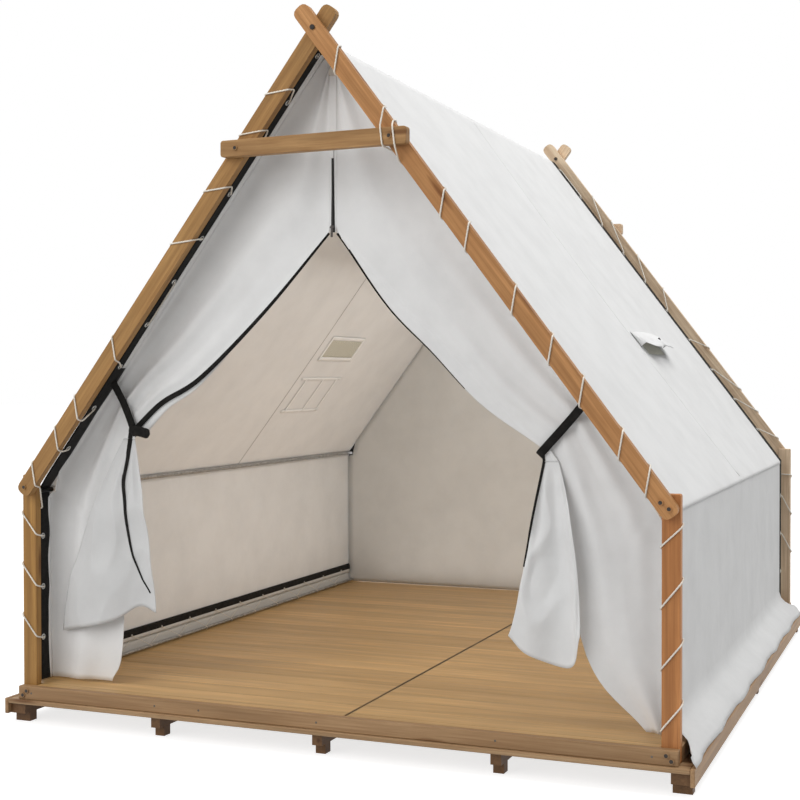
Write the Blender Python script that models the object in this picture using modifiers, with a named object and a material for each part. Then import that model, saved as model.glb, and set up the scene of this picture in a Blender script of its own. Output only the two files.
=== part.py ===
"""A-frame glamping tent: two bolted timber A-frames on a plank deck carry a canvas body,
which is laced to the frames through eyelets in its black edge webbing.

Units are metres, +Z is up, the ground is z = 0 and the entrance faces -Y.
Heights named "above deck" are measured from the top of the floor boards.
"""

import math

import bmesh
import bpy
from mathutils import Matrix, Vector

# Overall sizes
TENT_WIDTH = 3.0
TENT_DEPTH = 3.64
DECK_HEIGHT = 0.17
EAVE_HEIGHT = 0.878
RIDGE_HEIGHT = 2.839

# Frame timber
TIMBER_FACE = 0.072
TIMBER_THICK = 0.038
POST_TOP = 0.96
RAFTER_OVERRUN = 0.11
RAFTER_END_INSET = 0.022
RAFTER_CORNER = 0.026
RAFTER_DIVISIONS = (0.06, 0.35, 0.65, 0.97)
TIE_DROP = 0.473
TIE_OVERHANG = 0.0735
TIE_FACE = 0.070
TIE_CORNER = 0.012
BOARD_EDGE = 0.003

# Deck timber
RIM_HEIGHT = 0.060
RIM_LAP = 0.022
PLANK_THICK = 0.020
PLANK_WIDTH = 0.14
PLANK_GROOVE = 0.003
FLOOR_SEAM_X = 0.115
FLOOR_SEAM = 0.005
SOLE_THICK = 0.020
SOLE_FRONT = 0.055
SOLE_BACK = 0.045
FASCIA_THICK = 0.018
FASCIA_HEIGHT = 0.070
FASCIA_TOP = -0.058
SIDE_LEDGE = 0.046
BEARER_BOTTOM = -0.128
BEARER_WIDTH = 0.045
SIDE_BEARER_WIDTH = 0.076
BEARER_SPACING = 0.78
BEARER_END = 0.030
FOOT_LENGTH = 0.05
FOOT_END_INSET = 0.06

# Canvas body
CLOTH = 0.004
CLOTH_DROP = 0.018
ROOF_SAG = 0.015
WEBBING_START = 0.048
WEBBING_WIDTH = 0.077
WEBBING = 0.003
FRONT_CLOTH_Y = 0.140
WALL_FOOT = 0.085
SKIRT_OUT = 0.116
SKIRT_RIPPLE = 0.006
SKIRT_RIPPLES = 6
SKIRT_FORWARD = {"left": 0.030, "right": 0.165}
SKIRT_BACK = 0.080

# Steel poles and rails
POLE_RADIUS = 0.011
RAIL_RADIUS = 0.008
RAIL_INSET = 0.034

# Lacing
LACE_RADIUS = 0.0040
LACE_PITCH = 0.233
EYELET_RADIUS = 0.0075
EYELET_Y = 0.075
POST_EYELET_HEIGHT = 0.208
POST_EYELETS = 3
RAFTER_EYELET_START = 0.266
RAFTER_EYELETS = 10
LACE_CORNER = 0.012
POST_CROSSING = 0.100
POST_LACE_TOP = 0.835
RAFTER_CROSSING = 0.075
TIE_CROSSING = 0.146
LACE_ON_TIE = 0.010
FLOOR_LACE_RADIUS = 0.0022
FLOOR_EYELET_RADIUS = 0.0034
FLOOR_EYELETS = 11
FLOOR_STRIP_SHORT = 0.225
FLOOR_EYELET_HEIGHT = 0.088
FLOOR_STRIP_HEIGHT = 0.046
FLOOR_STRIP_STANDOFF = 0.013

# Fastenings
BOLT_RADIUS = 0.006
BOLT_HEAD_RADIUS = 0.011
BOLT_HEAD = 0.006
BOLT_SIDES = 10
EAVE_BOLT_SPACING = 0.038
RIM_BOLT_SPACING = 0.020

# Entrance
ZIP_TAPE = 0.030
ZIP_TAPE_THICK = 0.003
ZIP_NECK = 0.003
ZIP_NECK_DEEP = 0.0025
ZIP_HEAD = 0.008
ZIP_HEAD_DEEP = 0.003
ZIP_STOP_DROP = 0.469
ZIP_TAPE_DROP = 0.159
ZIP_OPEN_DROP = 0.821
SLIDER_HEIGHT = 0.024
SLIDER_WALL = 0.003
SLIDER_PLAY = 0.0006
PULL_LENGTH = 0.042
PULL_WIDTH = 0.010
PULL_THICK = 0.0024
PULL_PIN_RADIUS = 0.0014
LEAF_SEAM = 0.0008
LEAF_FOLD = 0.011
LEAF_FOLDS = 2.5
FLAP_STANDOFF = 0.0008
FLAP_FOLD = 0.014
FLAP_FOLDS = 3
FLAP_BULGE = 0.034
STRAP_WIDTH = 0.035
STRAP = 0.003
STRAP_HALF_DEEP = 0.021
STRAP_RISE = 0.07
STRAP_REACH = 0.012
STRAP_FRONT_Y = 0.088

# Roof vents
VENT_HEIGHT = 1.58
VENT_Y = 0.42
VENT_LENGTH = 0.12
VENT_WIDTH = 0.42
HOOD_LENGTH = 0.17
HOOD_WIDTH = 0.56
HOOD_CROWN = 0.030
HOOD_OPEN = math.radians(20)
HOOD_LAP = 0.024

# Clearance between pieces that touch
GAP = 0.0003
SMALL = 1e-5

# Values worked out from the sizes above
HALF_WIDTH = TENT_WIDTH / 2
HALF_DEPTH = TENT_DEPTH / 2
POST_INNER = HALF_WIDTH - TIMBER_FACE
RAFTER_RUN = HALF_WIDTH - RAFTER_END_INSET
RAFTER_RISE = RIDGE_HEIGHT - EAVE_HEIGHT
TIE_HEIGHT = RIDGE_HEIGHT - TIE_DROP
ZIP_TOP = RIDGE_HEIGHT - ZIP_STOP_DROP
ZIP_TAPE_TOP = RIDGE_HEIGHT - ZIP_TAPE_DROP
ZIP_OPEN_HEIGHT = RIDGE_HEIGHT - ZIP_OPEN_DROP
RAFTER_LENGTH = math.hypot(RAFTER_RUN, RAFTER_RISE)
ROOF_ANGLE = math.atan2(RAFTER_RISE, RAFTER_RUN)
ROOF_COS = math.cos(ROOF_ANGLE)
ROOF_SIN = math.sin(ROOF_ANGLE)
RAFTER_SPRING = TIMBER_THICK / 2 + 0.0007
RAFTER_LEAN = math.asin(RAFTER_SPRING / RAFTER_LENGTH)
RAFTER_SEAT = GAP + 0.08 * math.sin(RAFTER_LEAN)
WALL_X = HALF_WIDTH - TIMBER_FACE / 2 - CLOTH_DROP
CLOTH_RIDGE = RIDGE_HEIGHT - CLOTH_DROP / ROOF_COS
CLOTH_EAVE = CLOTH_RIDGE - WALL_X * math.tan(ROOF_ANGLE)
SLOPE_LENGTH = WALL_X / ROOF_COS
PANEL_START = WEBBING_START + WEBBING_WIDTH + GAP
POLE_OFFSET = CLOTH / 2 + POLE_RADIUS + GAP
SOLE_HALF_LENGTH = HALF_WIDTH + SIDE_LEDGE
FLOOR_EYELET_PITCH = (TENT_DEPTH - 2 * FRONT_CLOTH_Y - FLOOR_STRIP_SHORT) / FLOOR_EYELETS
FASCIA_OUTER = SOLE_HALF_LENGTH + GAP + FASCIA_THICK

SIDES = (("left", -1), ("right", 1))
FRAMES = (("front", False), ("rear", True))


# Scene and materials

def clear_scene():
    for old in list(bpy.data.objects):
        bpy.data.objects.remove(old)


def make_collection(name):
    collection = bpy.data.collections.new(name)
    bpy.context.scene.collection.children.link(collection)
    return collection


def make_material(name, colour, roughness, metallic=0.0):
    material = bpy.data.materials.new(name)
    material.use_nodes = True
    shader = material.node_tree.nodes["Principled BSDF"]
    shader.inputs["Base Color"].default_value = (*colour, 1.0)
    shader.inputs["Roughness"].default_value = roughness
    shader.inputs["Metallic"].default_value = metallic
    material.diffuse_color = (*colour, 1.0)
    return material


def timber():
    return make_material("pine_timber", (0.50, 0.32, 0.15), 0.6)


def planks():
    return make_material("floor_planks", (0.48, 0.33, 0.17), 0.5)


def sole_timber():
    return make_material("dark_sole_timber", (0.33, 0.19, 0.10), 0.65)


def canvas():
    return make_material("white_canvas", (0.80, 0.80, 0.79), 0.9)


def black_webbing():
    return make_material("black_webbing", (0.02, 0.018, 0.016), 0.85)


def white_rope():
    return make_material("white_rope", (0.83, 0.78, 0.70), 0.85)


def grey_steel():
    return make_material("galvanised_steel", (0.42, 0.42, 0.42), 0.4, 0.9)


def dark_steel():
    return make_material("dark_bolt_steel", (0.05, 0.045, 0.04), 0.45, 0.9)


# Building blocks

def add_object(name, data, material, matrix=None):
    """Links a new object; a matrix that mirrors is followed by turning the faces over."""
    if matrix is not None:
        data.transform(matrix)
        if matrix.determinant() < 0:
            data.flip_normals()
    made = bpy.data.objects.new(name, data)
    made.data.materials.append(material)
    PARTS.objects.link(made)
    return made


def mesh_from(work, name):
    mesh = bpy.data.meshes.new(name)
    bmesh.ops.recalc_face_normals(work, faces=work.faces)
    work.to_mesh(mesh)
    work.free()
    return mesh


def add_bevel(made, width=BOARD_EDGE):
    bevel = made.modifiers.new("eased_edges", "BEVEL")
    bevel.width = width
    bevel.segments = 1
    bevel.limit_method = "ANGLE"
    bevel.angle_limit = math.radians(40)


def box_mesh(work, low, high):
    size = [high[i] - low[i] for i in range(3)]
    centre = [(high[i] + low[i]) / 2 for i in range(3)]
    place = Matrix.Translation(centre) @ Matrix.Diagonal((*size, 1.0))
    bmesh.ops.create_cube(work, size=1.0, matrix=place)


def box(name, low, high, material, edge=BOARD_EDGE, matrix=None):
    work = bmesh.new()
    box_mesh(work, low, high)
    made = add_object(name, mesh_from(work, name), material, matrix)
    if edge:
        add_bevel(made, edge)
    return made


def outline_board(name, outlines, thickness, matrix, material, edge=BOARD_EDGE):
    """A flat board from closed outlines in its own XY plane, its thickness along its own Z."""
    curve = bpy.data.curves.new(name + "_outline", "CURVE")
    curve.dimensions = "2D"
    curve.fill_mode = "BOTH"
    curve.extrude = thickness / 2
    for outline in outlines:
        spline = curve.splines.new("POLY")
        spline.points.add(len(outline) - 1)
        for point, place in zip(spline.points, outline):
            point.co = (place[0], place[1], 0.0, 1.0)
        spline.use_cyclic_u = True
    drawn = bpy.data.objects.new(name + "_outline", curve)
    PARTS.objects.link(drawn)
    made = add_object(name, mesh_of_curve(drawn, name), material, matrix)
    bpy.data.objects.remove(drawn)
    if edge:
        add_bevel(made, edge)
    return made


def mesh_of_curve(drawn, name):
    bpy.context.view_layer.update()
    evaluated = drawn.evaluated_get(bpy.context.evaluated_depsgraph_get())
    mesh = bpy.data.meshes.new_from_object(evaluated)
    mesh.name = name
    work = bmesh.new()
    work.from_mesh(mesh)
    bmesh.ops.remove_doubles(work, verts=work.verts, dist=SMALL)
    work.to_mesh(mesh)
    work.free()
    mesh.materials.clear()
    return mesh


def rounded_bar(start, end, half_width, corner, steps=3):
    """Outline of a bar along X whose four corners are rounded."""
    corners = ((end - corner, half_width - corner, 0), (start + corner, half_width - corner, 90),
               (start + corner, corner - half_width, 180), (end - corner, corner - half_width, 270))
    outline = []
    for x, y, first in corners:
        for step in range(steps + 1):
            angle = math.radians(first + 90 * step / steps)
            outline.append((x + corner * math.cos(angle), y + corner * math.sin(angle)))
    return outline


def round_hole(x, y, radius, sides=BOLT_SIDES):
    turns = [2 * math.pi * i / sides for i in range(sides)]
    return [(x + radius * math.cos(a), y + radius * math.sin(a)) for a in turns]


def rod_mesh(work, start, end, radius, sides):
    start, end = Vector(start), Vector(end)
    along = end - start
    turn = along.to_track_quat("Z", "Y").to_matrix().to_4x4()
    place = Matrix.Translation((start + end) / 2) @ turn
    bmesh.ops.create_cone(work, cap_ends=True, segments=sides, radius1=radius, radius2=radius,
                          depth=along.length, matrix=place)


def tool_object(name, work):
    """A solid that only cuts or joins others."""
    tool = bpy.data.objects.new(name, mesh_from(work, name))
    TOOLS.objects.link(tool)
    tool.hide_render = True
    tool.display_type = "WIRE"
    return tool


def combine(made, tool, operation):
    step = made.modifiers.new(operation.lower(), "BOOLEAN")
    step.operation = operation
    step.object = tool


def add_bolt_heads(made, places, outward):
    """Fuses bolt heads into a board; the places lie on its face, outward points away from it."""
    work = bmesh.new()
    outward = Vector(outward)
    for place in places:
        place = Vector(place)
        rod_mesh(work, place - outward * BOLT_HEAD, place + outward * BOLT_HEAD,
                 BOLT_HEAD_RADIUS, BOLT_SIDES)
    combine(made, tool_object(made.name + "_bolt_heads", work), "UNION")


def rope(name, points, radius, material, resolution=1):
    curve = bpy.data.curves.new(name, "CURVE")
    curve.dimensions = "3D"
    curve.bevel_depth = radius
    curve.bevel_resolution = resolution
    curve.use_fill_caps = True
    spline = curve.splines.new("POLY")
    spline.points.add(len(points) - 1)
    for point, place in zip(spline.points, points):
        point.co = (*place, 1.0)
    drawn = bpy.data.objects.new(name + "_route", curve)
    PARTS.objects.link(drawn)
    made = add_object(name, mesh_of_curve(drawn, name), material)
    bpy.data.objects.remove(drawn)
    print(f"{name}: least gap to itself {1000 * least_gap(points, radius):.1f} mm")
    return made


def least_gap(points, radius, step=0.006):
    """Least clear distance between stretches of a rope that lie apart along its route."""
    places = [Vector(points[0])]
    for a, b in zip(points, points[1:]):
        a, b = Vector(a), Vector(b)
        count = max(1, round((b - a).length / step))
        places += [a.lerp(b, i / count) for i in range(1, count + 1)]
    apart = math.ceil(6 * radius / step) + 1
    nearest = min((places[i] - places[j]).length
                  for i in range(len(places)) for j in range(i + apart, len(places)))
    return nearest - 2 * radius


def sheet(name, rows, thickness, material):
    """A sheet of cloth from rows of points, thickened to both sides of them."""
    work = bmesh.new()
    grid = [[work.verts.new(point) for point in row] for row in rows]
    for row, following in zip(grid, grid[1:]):
        for i in range(len(row) - 1):
            work.faces.new((row[i], row[i + 1], following[i + 1], following[i]))
    made = add_object(name, mesh_from(work, name), material)
    thicken = made.modifiers.new("cloth_thickness", "SOLIDIFY")
    thicken.thickness = thickness
    thicken.offset = 0.0
    return made


def divide_faces(made, place, normal):
    """Cuts the faces along a plane, in one piece still, so that none is long and thin."""
    work = bmesh.new()
    work.from_mesh(made.data)
    everything = work.verts[:] + work.edges[:] + work.faces[:]
    bmesh.ops.bisect_plane(work, geom=everything, plane_co=place, plane_no=normal)
    work.to_mesh(made.data)
    work.free()


def set_origin(made, origin):
    """Moves an object's origin onto its joint's axis and leaves the shape where it is."""
    made.data.transform(Matrix.Translation(-Vector(origin)))
    made.location = origin


def stations(points, longest):
    """Shares of a polyline's length at all its corners and at even places between them."""
    lengths = [(b - a).length for a, b in zip(points, points[1:])]
    shares, done = [0.0], 0.0
    for length in lengths:
        count = math.ceil(length / longest)
        shares += [(done + length * i / count) / sum(lengths) for i in range(1, count + 1)]
        done += length
    return shares


def polyline_point(points, share):
    """The point at a share of the length of a polyline."""
    lengths = [(b - a).length for a, b in zip(points, points[1:])]
    left = share * sum(lengths)
    for a, b, length in zip(points, points[1:], lengths):
        if left <= length:
            return a.lerp(b, left / length)
        left -= length
    return points[-1].copy()


# Places of the timber members

def frame_matrix(rear):
    """Maps a frame's own places, y = 0 on the posts' outer face, into the tent."""
    if rear:
        return Matrix.Translation((0, HALF_DEPTH, DECK_HEIGHT)) @ Matrix.Rotation(math.pi, 4, "Z")
    return Matrix.Translation((0, -HALF_DEPTH, DECK_HEIGHT))


def frame_side_name(rear, side):
    """The rear frame is the front one turned about, so its sides swap names."""
    turned = -side if rear else side
    return "right" if turned > 0 else "left"


def rafter_matrix(side):
    """Own X runs up the rafter from its lower end, own Y points into the tent, own Z outward.

    The right rafter laps over the left one at the ridge. Each is sprung by half a board's
    thickness, so both lie flat on their posts and on each other.
    """
    lean = -RAFTER_LEAN * side
    along = Vector((-side * ROOF_COS * math.cos(lean), math.sin(lean), ROOF_SIN * math.cos(lean)))
    inward = Vector((-side * ROOF_SIN, 0.0, -ROOF_COS))
    outward = along.cross(inward) * side
    outward.normalize()
    turn = Matrix((along, inward, outward)).transposed().to_4x4()
    centre = (side * RAFTER_RUN, -TIMBER_THICK / 2 - RAFTER_SEAT, EAVE_HEIGHT)
    return Matrix.Translation(centre) @ turn


def post_matrix(side):
    """Own X runs up the post from the deck, own Y points into the tent, own Z outward."""
    turn = Matrix(((0, 0, 1), (-side, 0, 0), (0, -1, 0))).transposed().to_4x4()
    centre = (side * (HALF_WIDTH - TIMBER_FACE / 2), TIMBER_THICK / 2, 0.0)
    return Matrix.Translation(centre) @ turn


# Timber frames

def add_posts(rear, material):
    for side in (-1, 1):
        name = f"{FRAMES[rear][0]}_{frame_side_name(rear, side)}_post"
        outline = rounded_bar(GAP - RIM_HEIGHT, POST_TOP, TIMBER_FACE / 2, 0.004, 1)
        place = frame_matrix(rear) @ post_matrix(side)
        outline_board(name, [outline], TIMBER_THICK, place, material)


def eave_bolt_places(side):
    """Along and across the rafter: two bolts at the right eave, one at the left."""
    first = RAFTER_CORNER + 0.006
    if side > 0:
        return ((first, -0.006), (first + EAVE_BOLT_SPACING, 0.006))
    return ((first, -0.004),)


def add_rafters(rear, material):
    for side in (-1, 1):
        name = f"{FRAMES[rear][0]}_{frame_side_name(rear, side)}_rafter"
        bar = rounded_bar(0.0, RAFTER_LENGTH + RAFTER_OVERRUN, TIMBER_FACE / 2, RAFTER_CORNER)
        hole = round_hole(RAFTER_LENGTH, 0.0, BOLT_RADIUS + GAP)
        place = frame_matrix(rear) @ rafter_matrix(side)
        made = outline_board(name, [bar, hole], TIMBER_THICK, place, material)
        along = place.to_3x3() @ Vector((1, 0, 0))
        for share in RAFTER_DIVISIONS:
            divide_faces(made, place @ Vector((share * RAFTER_LENGTH, 0, 0)), along)
        outward = place.to_3x3() @ Vector((0, 0, 1))
        heads = [place @ Vector((x, y, TIMBER_THICK / 2)) for x, y in eave_bolt_places(side)]
        add_bolt_heads(made, heads, outward)


def tie_matrix():
    """The tie lies on the left rafter and on the right one, which stands further forward."""
    up_rafter = (TIE_HEIGHT - EAVE_HEIGHT) / ROOF_SIN
    step = 2 * up_rafter * math.sin(RAFTER_LEAN)
    reach = tie_bolt_x()
    turn = math.atan2(step, 2 * reach)
    wedge = TIMBER_FACE * math.sin(turn) + TIE_FACE * math.sin(RAFTER_LEAN)
    forward = 3 * TIMBER_THICK / 2 + RAFTER_SEAT + wedge + GAP
    place = Matrix.Translation((0, -forward, TIE_HEIGHT))
    return place @ Matrix.Rotation(-turn, 4, "Z") @ Matrix.Rotation(math.pi / 2, 4, "X")


def tie_bolt_x():
    return TIE_DROP / math.tan(ROOF_ANGLE)


def add_tie(rear, material):
    name = f"{FRAMES[rear][0]}_collar_tie"
    end = tie_bolt_x() + TIE_OVERHANG
    bar = rounded_bar(-end, end, TIE_FACE / 2, TIE_CORNER)
    place = frame_matrix(rear) @ tie_matrix()
    made = outline_board(name, [bar], TIMBER_THICK, place, material)
    outward = place.to_3x3() @ Vector((0, 0, 1))
    heads = [place @ Vector((x, 0, TIMBER_THICK / 2)) for x in (-tie_bolt_x(), tie_bolt_x())]
    add_bolt_heads(made, heads, outward)


def add_apex_bolt(rear, material):
    """One bolt through both rafters, with its head in front and its nut behind."""
    place = frame_matrix(rear)
    mid_y = -TIMBER_THICK / 2 - RAFTER_SEAT
    lean_room = BOLT_HEAD_RADIUS * math.sin(RAFTER_LEAN) + GAP
    seat = RAFTER_SPRING + TIMBER_THICK / 2 + lean_room
    front = Vector((0, mid_y - seat, RIDGE_HEIGHT))
    back = Vector((0, mid_y + seat, RIDGE_HEIGHT))
    work = bmesh.new()
    into_head = Vector((0, BOLT_HEAD / 2, 0))
    rod_mesh(work, front - into_head, back + into_head, BOLT_RADIUS - 0.0006, BOLT_SIDES)
    made = add_object(f"{FRAMES[rear][0]}_apex_bolt", mesh_from(work, "apex_bolt"), material,
                      place)
    work = bmesh.new()
    rod_mesh(work, place @ front, place @ (front + Vector((0, -BOLT_HEAD, 0))),
             BOLT_HEAD_RADIUS, BOLT_SIDES)
    rod_mesh(work, place @ back, place @ (back + Vector((0, BOLT_HEAD, 0))), BOLT_HEAD_RADIUS, 6)
    combine(made, tool_object(made.name + "_ends", work), "UNION")


# Deck

def add_front_and_rear_rims(material):
    for name, rear in FRAMES:
        place = frame_matrix(rear)
        made = box(f"{name}_rim", (-HALF_WIDTH, -TIMBER_THICK - GAP, GAP - RIM_HEIGHT),
                   (HALF_WIDTH, -GAP, 0.0), material, matrix=place)
        heads = []
        for side in (-1, 1):
            x = side * (HALF_WIDTH - TIMBER_FACE / 2)
            for turn in (-1, 1):
                across = x + turn * side * RIM_BOLT_SPACING / 2
                height = -RIM_HEIGHT / 2 - turn * RIM_BOLT_SPACING / 2
                heads.append(place @ Vector((across, -TIMBER_THICK - GAP, height)))
        add_bolt_heads(made, heads, place.to_3x3() @ Vector((0, -1, 0)))


def add_side_rims(material):
    """Each side rim has a rebate along its inner top edge that the floor planks lie in."""
    inner = HALF_WIDTH - TIMBER_THICK - RIM_LAP
    lap = HALF_WIDTH - TIMBER_THICK
    drop = -PLANK_THICK - GAP
    half_length = HALF_DEPTH - TIMBER_THICK - GAP
    for name, side in SIDES:
        section = [(side * x, z) for x, z in ((inner, GAP - RIM_HEIGHT),
                   (HALF_WIDTH, GAP - RIM_HEIGHT), (HALF_WIDTH, 0.0), (lap, 0.0), (lap, drop),
                   (inner, drop))]
        extrude_along_y(f"{name}_rim", section, -half_length, half_length, material, edge=0.0)


def extrude_along_y(name, section, start, end, material, edge=BOARD_EDGE):
    """A section drawn in X and height above the deck, run from one Y to another."""
    turn = Matrix(((1, 0, 0), (0, 0, 1), (0, -1, 0))).transposed().to_4x4()
    centre = (0, (start + end) / 2, DECK_HEIGHT)
    place = Matrix.Translation(centre) @ turn
    return outline_board(name, [section], end - start, place, material, edge)


def add_soles(material):
    for name, rear in FRAMES:
        box(f"{name}_sole", (-SOLE_HALF_LENGTH, -SOLE_FRONT, -RIM_HEIGHT - SOLE_THICK),
            (SOLE_HALF_LENGTH, SOLE_BACK, -RIM_HEIGHT), material, matrix=frame_matrix(rear))


def add_fascias(material):
    half_length = HALF_DEPTH + SOLE_FRONT
    for name, side in SIDES:
        inner, outer = sorted((side * (SOLE_HALF_LENGTH + GAP), side * FASCIA_OUTER))
        box(f"{name}_fascia", (inner, -half_length, DECK_HEIGHT + FASCIA_TOP - FASCIA_HEIGHT),
            (outer, half_length, DECK_HEIGHT + FASCIA_TOP), material)


def floor_outline():
    """Plank joints are grooves along X in the top of the panel; drawn in Y and height."""
    half_length = HALF_DEPTH - SOLE_BACK - GAP
    count = round(2 * half_length / PLANK_WIDTH)
    width = 2 * half_length / count
    outline = [(-half_length, -PLANK_THICK), (half_length, -PLANK_THICK), (half_length, 0.0)]
    for joint in range(count - 1, 0, -1):
        y = -half_length + joint * width
        outline.append((y + PLANK_GROOVE / 2, 0.0))
        outline.append((y, -PLANK_GROOVE))
        outline.append((y - PLANK_GROOVE / 2, 0.0))
    outline.append((-half_length, 0.0))
    return outline


def add_floor_panels(material):
    turn = Matrix(((0, 1, 0), (0, 0, 1), (1, 0, 0))).transposed().to_4x4()
    end = HALF_WIDTH - TIMBER_THICK - GAP
    half_seam = FLOOR_SEAM / 2
    spans = {"left": (-end, FLOOR_SEAM_X - half_seam), "right": (FLOOR_SEAM_X + half_seam, end)}
    for name, side in SIDES:
        low, high = spans[name]
        place = Matrix.Translation(((low + high) / 2, 0, DECK_HEIGHT)) @ turn
        outline_board(f"floor_panel_{name}", [floor_outline()], high - low, place,
                      material, edge=0.0)


def bearer_outline(top):
    """A joist along Y, notched at both ends to pass under the soles, with three feet."""
    end = HALF_DEPTH + BEARER_END
    notch = HALF_DEPTH - SOLE_BACK - GAP
    under_sole = -RIM_HEIGHT - SOLE_THICK - GAP
    ground = -DECK_HEIGHT
    outer_foot = end - FOOT_END_INSET
    half = FOOT_LENGTH / 2
    outline = [(-end, under_sole), (-end, BEARER_BOTTOM)]
    for centre in (-outer_foot, 0.0, outer_foot):
        outline += [(centre - half, BEARER_BOTTOM), (centre - half, ground),
                    (centre + half, ground), (centre + half, BEARER_BOTTOM)]
    outline += [(end, BEARER_BOTTOM), (end, under_sole), (notch, under_sole), (notch, top),
                (-notch, top), (-notch, under_sole)]
    return outline


def add_bearers(material):
    turn = Matrix(((0, 1, 0), (0, 0, 1), (1, 0, 0))).transposed().to_4x4()
    side_x = SOLE_HALF_LENGTH - SIDE_BEARER_WIDTH / 2
    side_top = -RIM_HEIGHT
    plank_top = -PLANK_THICK - GAP
    beams = (("bearer_far_left", -side_x, SIDE_BEARER_WIDTH, side_top),
             ("bearer_left", -BEARER_SPACING, BEARER_WIDTH, plank_top),
             ("bearer_middle", 0.0, BEARER_WIDTH, plank_top),
             ("bearer_right", BEARER_SPACING, BEARER_WIDTH, plank_top),
             ("bearer_far_right", side_x, SIDE_BEARER_WIDTH, side_top))
    for name, x, width, top in beams:
        place = Matrix.Translation((x, 0, DECK_HEIGHT)) @ turn
        outline_board(name, [bearer_outline(top)], width, place, material, edge=0.0)


# Steel poles and rails

def add_rod(name, x, height, half_length, radius, material):
    work = bmesh.new()
    z = DECK_HEIGHT + height
    rod_mesh(work, (x, -half_length, z), (x, half_length, z), radius, 12)
    made = add_object(name, mesh_from(work, name), material)
    made.data.shade_smooth()
    made.data.set_sharp_from_angle(angle=math.radians(40))
    return made


def eave_pole_place():
    """The eave pole lies in the corner of roof and wall; its x and its height above deck."""
    x = WALL_X - POLE_OFFSET
    return x, CLOTH_RIDGE - x * math.tan(ROOF_ANGLE) - POLE_OFFSET / ROOF_COS


def ridge_pole_height():
    return CLOTH_RIDGE - POLE_OFFSET / ROOF_COS


def add_poles(material):
    reach = HALF_DEPTH - TIMBER_THICK - GAP
    x, height = eave_pole_place()
    for name, side in SIDES:
        add_rod(f"eave_pole_{name}", side * x, height, reach, POLE_RADIUS, material)
    up_rafter = (ridge_pole_height() + POLE_RADIUS - EAVE_HEIGHT) / RAFTER_RISE
    behind_rafter = HALF_DEPTH + RAFTER_SEAT - RAFTER_SPRING * up_rafter - GAP
    add_rod("ridge_pole", 0.0, ridge_pole_height(), behind_rafter, POLE_RADIUS, material)


def floor_strip_half_length():
    return FLOOR_EYELET_PITCH * FLOOR_EYELETS / 2


def floor_strip_centre():
    """The floor strip stops short of the entrance, so its middle lies behind the tent's."""
    return HALF_DEPTH - FRONT_CLOTH_Y - CLOTH - floor_strip_half_length()


def rail_x():
    return WALL_X - RAIL_INSET


def rail_turn_radius():
    """Radius of the eight-sided path on which the floor lace rounds the rail."""
    return (RAIL_RADIUS + FLOOR_LACE_RADIUS + 2 * GAP) / math.cos(math.pi / 8)


def rail_height():
    """The rail's height above the deck leaves room for the lace that passes under it."""
    return rail_turn_radius() + FLOOR_LACE_RADIUS + GAP


def add_floor_rails(material):
    for name, side in SIDES:
        made = add_rod(f"floor_rail_{name}", side * rail_x(), rail_height(),
                       floor_strip_half_length(), RAIL_RADIUS, material)
        made.location.y = floor_strip_centre()


# Canvas body

def roof_point(side, down, y, above=0.0):
    """A point on the sagging roof, down the slope from the ridge, above it along its normal."""
    half = HALF_DEPTH - PANEL_START
    sag = ROOF_SAG * math.sin(math.pi * down / SLOPE_LENGTH) * math.cos(math.pi * y / (2 * half))
    out = above - sag
    x = down * ROOF_COS + out * ROOF_SIN
    z = CLOTH_RIDGE - down * ROOF_SIN + out * ROOF_COS
    return Vector((side * x, y, DECK_HEIGHT + z))


def add_roofs(material):
    half = HALF_DEPTH - PANEL_START
    edge = CLOTH / 2 * math.tan(ROOF_ANGLE) + GAP
    eave_edge = SLOPE_LENGTH - CLOTH / 2 - GAP
    across, along = 10, 12
    for name, side in SIDES:
        rows = []
        for i in range(across + 1):
            down = edge + (eave_edge - edge) * i / across
            rows.append([roof_point(side, down, half * (2 * j / along - 1))
                         for j in range(along + 1)])
        made = sheet(f"roof_{name}", rows, CLOTH, material)
        cut_vent(made, side)


def vent_down():
    return (CLOTH_RIDGE - VENT_HEIGHT) / ROOF_SIN


def cut_vent(made, side):
    work = bmesh.new()
    box_mesh(work, (-VENT_LENGTH / 2, -VENT_WIDTH / 2, -0.05),
             (VENT_LENGTH / 2, VENT_WIDTH / 2, 0.05))
    turn = Matrix.Rotation(side * ROOF_ANGLE, 4, "Y")
    bmesh.ops.transform(work, matrix=Matrix.Translation(roof_point(side, vent_down(), VENT_Y)) @ turn,
                        verts=work.verts)
    combine(made, tool_object(made.name + "_vent", work), "DIFFERENCE")


def hood_point(side, along, across):
    """A point of the vent hood, from its hinge at the upper edge of the vent."""
    hinge_down = vent_down() - VENT_LENGTH / 2 - HOOD_LAP
    y = VENT_Y + HOOD_WIDTH * (across - 0.5)
    lift = CLOTH + GAP
    crown = HOOD_CROWN * math.sin(math.pi * across) * along ** 0.7
    run = HOOD_LENGTH * along * (1.0 - 0.12 * (2 * across - 1) ** 2)
    start = roof_point(side, hinge_down, y, lift)
    down = Vector((side * ROOF_COS, 0, -ROOF_SIN))
    out = Vector((side * ROOF_SIN, 0, ROOF_COS))
    return (start + down * (run * math.cos(HOOD_OPEN))
            + out * (run * math.sin(HOOD_OPEN) + crown))


def add_vent_hoods(material):
    along, across = 5, 8
    for name, side in SIDES:
        rows = [[hood_point(side, i / along, j / across) for j in range(across + 1)]
                for i in range(along + 1)]
        made = sheet(f"vent_hood_{name}", rows, CLOTH, material)
        set_origin(made, hood_point(side, 0.0, 0.5))


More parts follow.
